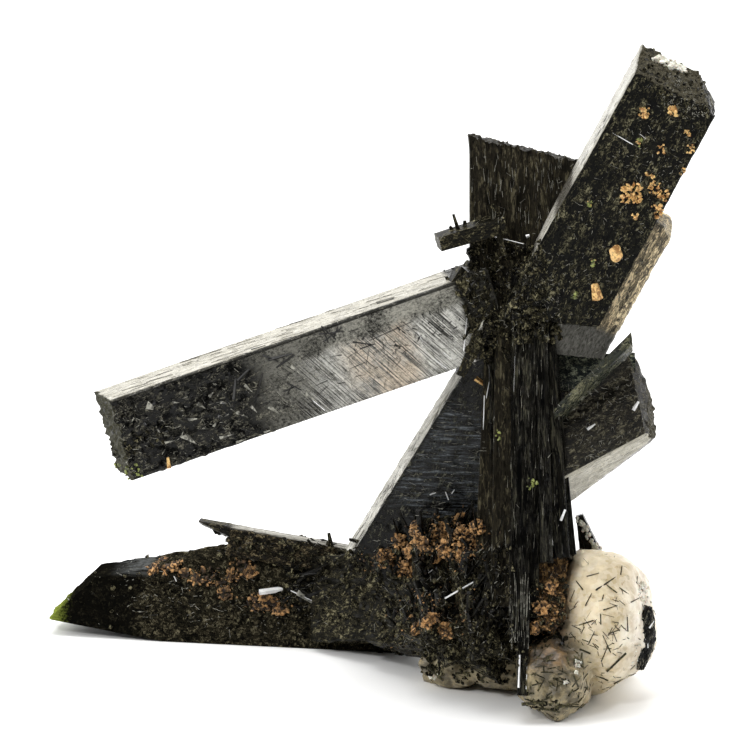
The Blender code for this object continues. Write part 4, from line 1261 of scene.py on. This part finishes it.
# Rust colours, with painted shade by how far each grain stands out.
rust_grain = grain_surface(
    "rust", (0.012, 0.006, 0.002), (0.54, 0.30, 0.115), gloss=0.6, fineness=1100.0, raised=True
)
settle_mesh("rust_nodules", joined(rust), rust_grain)
gold = []
for index, (across, up, size, count) in enumerate(GOLD_SPOTS):
    spread = 0.33 * count ** 0.6
    for grain, place, normal in strewn(crystal_skin, across, up, spread, spread, count * 5):
        gold.append(lump_of(place, size * chance.uniform(0.25, 0.7), index * 3.3 + grain, roughness=1.4))
place, normal = meets(crystal_skin, *TAN_PLATE)
turn = normal.to_track_quat("Z", "Y").to_matrix().to_4x4()
plate = lump_of(Vector((0, 0, 0)), TAN_PLATE_SIZE, 20.0, detail=3, roughness=0.35)
bmesh.ops.scale(plate, vec=(0.85, 1.1, 0.22), verts=plate.verts)
bmesh.ops.transform(plate, matrix=Matrix.Translation(place) @ turn, verts=plate.verts)
gold.append(plate)
gold += laid(crystal_skin, TAN_PRISMS, 0.35)
cream = []
for index in range(CREAM_GRAINS):
    share = chance.random()
    across = 12.9 + 4.2 * share
    place, normal = meets(crystal_skin, across, 88.0 - 1.5 * share + chance.uniform(-0.5, 0.3))
    if place:
        cream.append(lump_of(place, chance.uniform(0.2, 0.6), index * 2.3, roughness=0.9))
settle_mesh("cream_patch", joined(cream), white_grain)
green = []
for zone in GREEN_SPOTS:
    for grain, place, normal in strewn(crystal_skin, *zone):
        green.append(lump_of(place, chance.uniform(0.08, 0.3), zone[0] + grain))
green_grain = grain_surface(
    "green_bits", (0.045, 0.050, 0.012), (0.30, 0.34, 0.09), gloss=0.25, fineness=1300.0
)
settle_mesh("green_bits", joined(green), green_grain)
gold_grain = grain_surface(
    "golden_grains", (0.30, 0.14, 0.035), (0.88, 0.58, 0.23), gloss=0.3, bleed=0.1, fineness=1500.0
)
settle_mesh("golden_grains", joined(gold), gold_grain)

# The glint bits: thin white rods and flakes painted as glints, where needles and edges catch the light on
# the wedge, the lying crystal, the
# column and the upper crystal: across, up, slant in degrees, length and width.
GLINT_BITS = [
    (-13.1, 16.7, 26, 4.6, 0.26), (-17.2, 19.0, 38, 1.5, 0.2), (-16.6, 29.6, 20, 0.9, 0.18),
    (-14.7, 29.3, 110, 1.2, 0.16), (-13.8, 30.0, 55, 1.0, 0.16), (-38.5, 16.4, 8, 3.2, 0.8),
    (-51.3, 17.8, 120, 1.4, 0.24), (-34.0, 15.6, -25, 4.0, 0.14), (-9.8, 40.5, 88, 4.6, 0.12),
    (-9.2, 44.0, 80, 3.2, 0.1), (0.8, 26.8, 68, 1.6, 0.34), (-5.1, 5.9, 88, 4.4, 0.3),
    (-0.9, 75.6, -48, 2.0, 0.14), (1.8, 75.0, 55, 1.4, 0.14), (-3.9, 64.2, 20, 0.5, 0.5),
    (-6.4, 63.6, -14, 4.0, 0.12), (10.6, 41.4, 60, 1.4, 0.5), (4.6, 38.6, 35, 1.3, 0.4),
    (8.6, 77.2, -30, 3.4, 0.12), (11.2, 77.6, -40, 1.6, 0.1), (-12.3, 51.0, 86, 4.6, 0.12),
    (-18.6, 51.2, -62, 2.6, 0.1), (-16.1, 47.4, -36, 3.2, 0.13), (-32.4, 41.9, -40, 3.4, 0.12),
    (-15.0, 48.4, -36, 2.4, 0.1), (-5.8, 43.6, 88, 9.0, 0.03), (12.7, 12.1, 60, 1.2, 0.25),
    (12.2, 9.4, 100, 0.9, 0.2), (-4.1, 5.0, 88, 3.0, 0.12),
]

glint_rods = laid(crystal_skin, GLINT_BITS, 0.2, lean=2)
# White: painted glints.
glint_grain = grain_surface("glint_bits", (0.75, 0.75, 0.74), (0.90, 0.90, 0.90), gloss=0.1)
settle_mesh("glint_bits", joined(glint_rods), glint_grain)

# The junction's crumbs, the scratches and the chips: the crystals broke and healed where they cross, so
# dark angular crumbs fill the corners there, and fine splinters, imprints and flakes mark every face. The
# flakes are chips whose pale colour is a painted glint of the chipped faces. A zone is a slanting box of the
# view: its middle across and up, half its length and width, its lie in degrees and a count, then for
# splinters their slant, their swing from it, their lengths and their widths.
CRUMB_HEAPS = [
    (-6.4, 57.0, 6.6, 5.0, 90, 420, 0.10, 0.34), (-4.2, 55.6, 5.4, 3.8, 90, 26, 0.4, 0.7),
    (-12.1, 57.6, 1.4, 0.9, 60, 26, 0.3, 0.8), (-11.3, 61.0, 1.8, 0.7, 80, 16, 0.3, 0.6),
    (-2.0, 51.6, 2.6, 1.6, 0, 50, 0.2, 0.5), (-9.6, 51.0, 3.6, 1.7, 75, 130, 0.15, 0.5),
    (-15.0, 15.0, 9.0, 7.5, 0, 520, 0.12, 0.45), (-30.0, 17.0, 6.5, 4.5, 0, 200, 0.1, 0.4),
    (-34.5, 21.6, 9.0, 1.2, -8, 120, 0.12, 0.4), (-9.0, 6.6, 5.0, 2.4, 0, 110, 0.12, 0.4),
    (-13.4, 9.4, 4.6, 1.6, 4, 240, 0.15, 0.5), (-16.6, 6.8, 1.6, 1.6, 0, 60, 0.15, 0.4),
    (-1.2, 13.6, 2.4, 4.6, 0, 110, 0.12, 0.4), (-3.0, 1.4, 3.2, 0.7, 0, 60, 0.1, 0.3),
    (15.5, 84.6, 4.4, 2.4, -25, 90, 0.1, 0.3), (-56.8, 36.2, 1.2, 4.6, -70, 50, 0.1, 0.3),
]
PALE_ZONES = [
    (9.1, 67.7, 16.0, 5.5, 61, 380, 0, 90, (0.1, 0.55), (0.04, 0.08)),
    (17.5, 82.7, 3.6, 2.2, -20, 200, 0, 90, (0.08, 0.45), (0.05, 0.10)),
    (-5.6, 70.3, 6.5, 5.0, 0, 90, 90, 12, (0.3, 1.8), (0.04, 0.07)),
    (-6.0, 56.7, 6.5, 6.0, 0, 200, 0, 90, (0.1, 0.7), (0.05, 0.11)),
    (-3.6, 38.2, 17.0, 4.5, 90, 60, 90, 6, (0.6, 3.4), (0.03, 0.05)),
    (-5.0, 14.0, 4.0, 1.4, 90, 40, 90, 3, (1.0, 5.0), (0.04, 0.08)),
    (-15.7, 34.2, 8.0, 4.5, 57, 120, 0, 25, (0.3, 1.4), (0.04, 0.08)),
    (7.1, 39.5, 5.5, 4.5, 28, 130, 0, 90, (0.15, 0.9), (0.04, 0.08)),
    (-44.8, 15.4, 15.0, 4.0, -5, 150, -5, 40, (0.2, 1.2), (0.04, 0.07)),
    (-15.7, 15.4, 9.0, 8.0, 0, 220, 0, 90, (0.2, 1.2), (0.05, 0.10)),
    (-50.5, 38.9, 8.5, 4.0, 19, 110, -15, 50, (0.2, 0.9), (0.05, 0.12)),
    (-25.1, 46.9, 14.0, 4.4, 19, 220, -40, 8, (0.5, 3.2), (0.04, 0.07)),
]
DARK_ZONES = [
    (-31.8, 45.6, 12.0, 4.2, 19, 60, 0, 90, (0.5, 2.4), (0.07, 0.13)),
    (-19.0, 51.0, 7.0, 2.4, 19, 60, 0, 90, (0.2, 0.7), (0.10, 0.22)),
    (-35.8, 51.4, 24.0, 1.3, 19, 80, 19, 2, (0.8, 4.0), (0.04, 0.09)),
    (7.4, 80.4, 8.0, 0.6, 61, 18, 61, 3, (0.6, 2.5), (0.05, 0.09)),
    (-20.0, 34.0, 14.0, 0.7, 57, 40, 57, 3, (0.6, 2.8), (0.05, 0.09)),
]
IMPRINTS = [
    (-40.3, 42.5, 77, 7.0, 0.272), (-43.1, 44.2, 79, 4.0, 0.442), (-42.0, 45.6, 40, 2.2, 0.34),
    (-37.1, 48.0, 12, 3.4, 0.51), (-36.4, 47.4, 34, 3.0, 0.34), (-38.4, 47.8, -22, 2.4, 0.374),
    (-30.3, 51.2, 4, 3.4, 0.238), (-30.0, 51.0, 36, 3.0, 0.221), (-30.6, 51.2, -42, 2.8, 0.221),
    (-29.6, 51.4, 72, 2.0, 0.204), (-31.0, 50.8, 112, 2.0, 0.204), (-35.6, 43.8, 22, 2.4, 0.204),
    (-35.2, 44.0, -27, 2.2, 0.204), (-35.8, 43.6, 64, 1.6, 0.204), (-26.1, 49.8, -10, 2.6, 0.238),
    (-25.4, 49.4, 16, 2.2, 0.204), (-23.7, 50.8, 22, 10.0, 0.119), (-39.6, 51.4, 30, 1.8, 0.34),
    (-23.0, 55.4, 17, 2.4, 0.204), (-40.0, 49.2, 22, 2.0, 0.204),
]
GLINT_CHIPS = [
    (-54.3, 41.3, -25, 2.6, 1.1), (-49.7, 37.4, -35, 3.2, 1.4), (-42.7, 40.5, -25, 2.6, 0.8),
    (-47.7, 41.5, -30, 1.6, 0.6), (-53.6, 38.5, -60, 1.4, 0.5), (-44.5, 37.3, 15, 2.4, 0.5),
    (-42.5, 36.7, 20, 1.8, 0.4), (-45.8, 38.9, 60, 1.2, 0.5), (-51.2, 41.9, -10, 1.2, 0.4),
    (-40.7, 41.1, -45, 1.6, 0.5), (-39.1, 37.9, 30, 1.8, 0.5), (-56.8, 39.5, 45, 0.9, 0.3),
    (-48.9, 39.6, 5, 1.9, 0.6), (-46.2, 43.0, 35, 1.8, 0.5), (-52.0, 36.6, 10, 1.8, 0.4),
    (-44.9, 41.9, -15, 1.5, 0.6), (-41.6, 44.0, -40, 2.0, 0.6), (-38.0, 41.0, -35, 2.4, 0.7),
    (-35.2, 46.4, -40, 2.2, 0.5), (-33.0, 42.6, -38, 3.0, 0.5), (-34.0, 15.6, -25, 3.6, 0.9),
    (-10.2, 51.8, 80, 2.2, 0.7), (10.6, 41.4, 60, 1.5, 0.8), (4.6, 38.6, 35, 1.3, 0.6),
]
JUNCTION = (-5.0, 55.0, -2.0)
JUNCTION_REACH = 12
BASE_TOP = 14
LOOSE_CRUMBS = 160
LOOSE_SPLINTERS = 90


def somewhere(skin, zone):
    """A place of a skin in a slanting box of the view."""
    across, up, length, width, lie = zone[:5]
    run = chance.uniform(-1, 1) * length
    side = chance.uniform(-1, 1) * width
    turn = math.radians(lie)
    across = across + run * math.cos(turn) - side * math.sin(turn)
    return meets(skin, across, up + run * math.sin(turn) + side * math.cos(turn))


def splinter(place, normal, line, lengths, widths):
    """A fine three-sided rod with a drawn length and width."""
    return rod(place, normal, line, chance.uniform(*lengths), chance.uniform(*widths), 0.3, sides=3)


def splinters(skin, zones):
    """Fine rods strewn over zones of the view."""
    made = []
    for zone in zones:
        count, slant, swing, lengths, widths = zone[5:]
        for _ in range(count):
            place, normal = somewhere(skin, zone)
            if place:
                line = slanted(slant + chance.uniform(-swing, swing))
                made.append(splinter(place, normal, line, lengths, widths))
    return made


def glint_chip(place, normal, line, length, width):
    """A thin three-cornered flake along a line on a skin, tilted a little out of it, to carry a painted
    glint.
    """
    along = (line - normal * line.dot(normal)).normalized()
    turn = Matrix((along.cross(normal), along, normal)).transposed().to_4x4()
    bm = bmesh.new()
    bmesh.ops.create_cone(bm, cap_ends=True, segments=3, radius1=0.6, radius2=0.5, depth=1.0)
    bmesh.ops.scale(bm, vec=(width * MM, length * MM, 0.08 * MM), verts=bm.verts)
    bmesh.ops.rotate(bm, matrix=Matrix.Rotation(chance.uniform(-0.25, 0.25), 3, "Y"), verts=bm.verts)
    bmesh.ops.transform(bm, matrix=Matrix.Translation(place) @ turn, verts=bm.verts)
    return bm


ground_skin = skin_of(pieces + [rock_piece])
junction = spot(*JUNCTION)
crumbs = []
for heap in CRUMB_HEAPS:
    for grain in range(heap[5]):
        place, normal = somewhere(ground_skin, heap)
        if place:
            crumbs.append(lump_of(place, chance.uniform(*heap[6:]), grain * 1.9))
for piece in pieces:
    for place, normal in loose_spots(piece, LOOSE_CRUMBS, 1.0, 66):
        near = (place - junction).length < JUNCTION_REACH * MM or place.z < BASE_TOP * MM
        if normal.y > 0.1 and near:
            crumbs.append(lump_of(place, chance.uniform(0.12, 0.45), place.x * 900))
crumb_skin = aegirine(
    "crumb_aegirine", (0.001, 0.001, 0.001), (0.012, 0.011, 0.007), (0.054, 0.049, 0.031), dust_share=0.3,
    gloss=0.16, flake_and_glint_specks=1.0, sheen=0.06,
)
crumb_piece = settle_mesh("dark_crumbs", marked(joined(crumbs)), crumb_skin)
crumbed_skin = skin_of(pieces + [crumb_piece])
pale_splinters_and_glint_chips = splinters(crumbed_skin, PALE_ZONES)
for piece in pieces:
    for place, normal in loose_spots(piece, LOOSE_SPLINTERS, 0.5, 88):
        line = Vector([chance.uniform(-1, 1) for _ in range(3)])
        pale_splinters_and_glint_chips.append(splinter(place, normal, line, (0.2, 1.2), (0.04, 0.08)))
for across, up, degrees, length, width in GLINT_CHIPS:
    place, normal = meets(crumbed_skin, across, up)
    if place:
        pale_splinters_and_glint_chips.append(glint_chip(place, normal, slanted(degrees), length, width))
# Pale grey: real scratches on the splinters, a painted glint on the chips.
splinter_grain = grain_surface("splinters", (0.05, 0.048, 0.038), (0.40, 0.39, 0.33), gloss=0.3)
settle_mesh("pale_splinters_and_glint_chips", joined(pale_splinters_and_glint_chips), splinter_grain)
imprints = splinters(crumbed_skin, DARK_ZONES) + laid(crumbed_skin, IMPRINTS, 0.35)
imprint_grain = grain_surface("imprints", (0.002, 0.002, 0.0015), (0.012, 0.011, 0.009), gloss=0.3)
settle_mesh("dark_imprints", joined(imprints), imprint_grain)
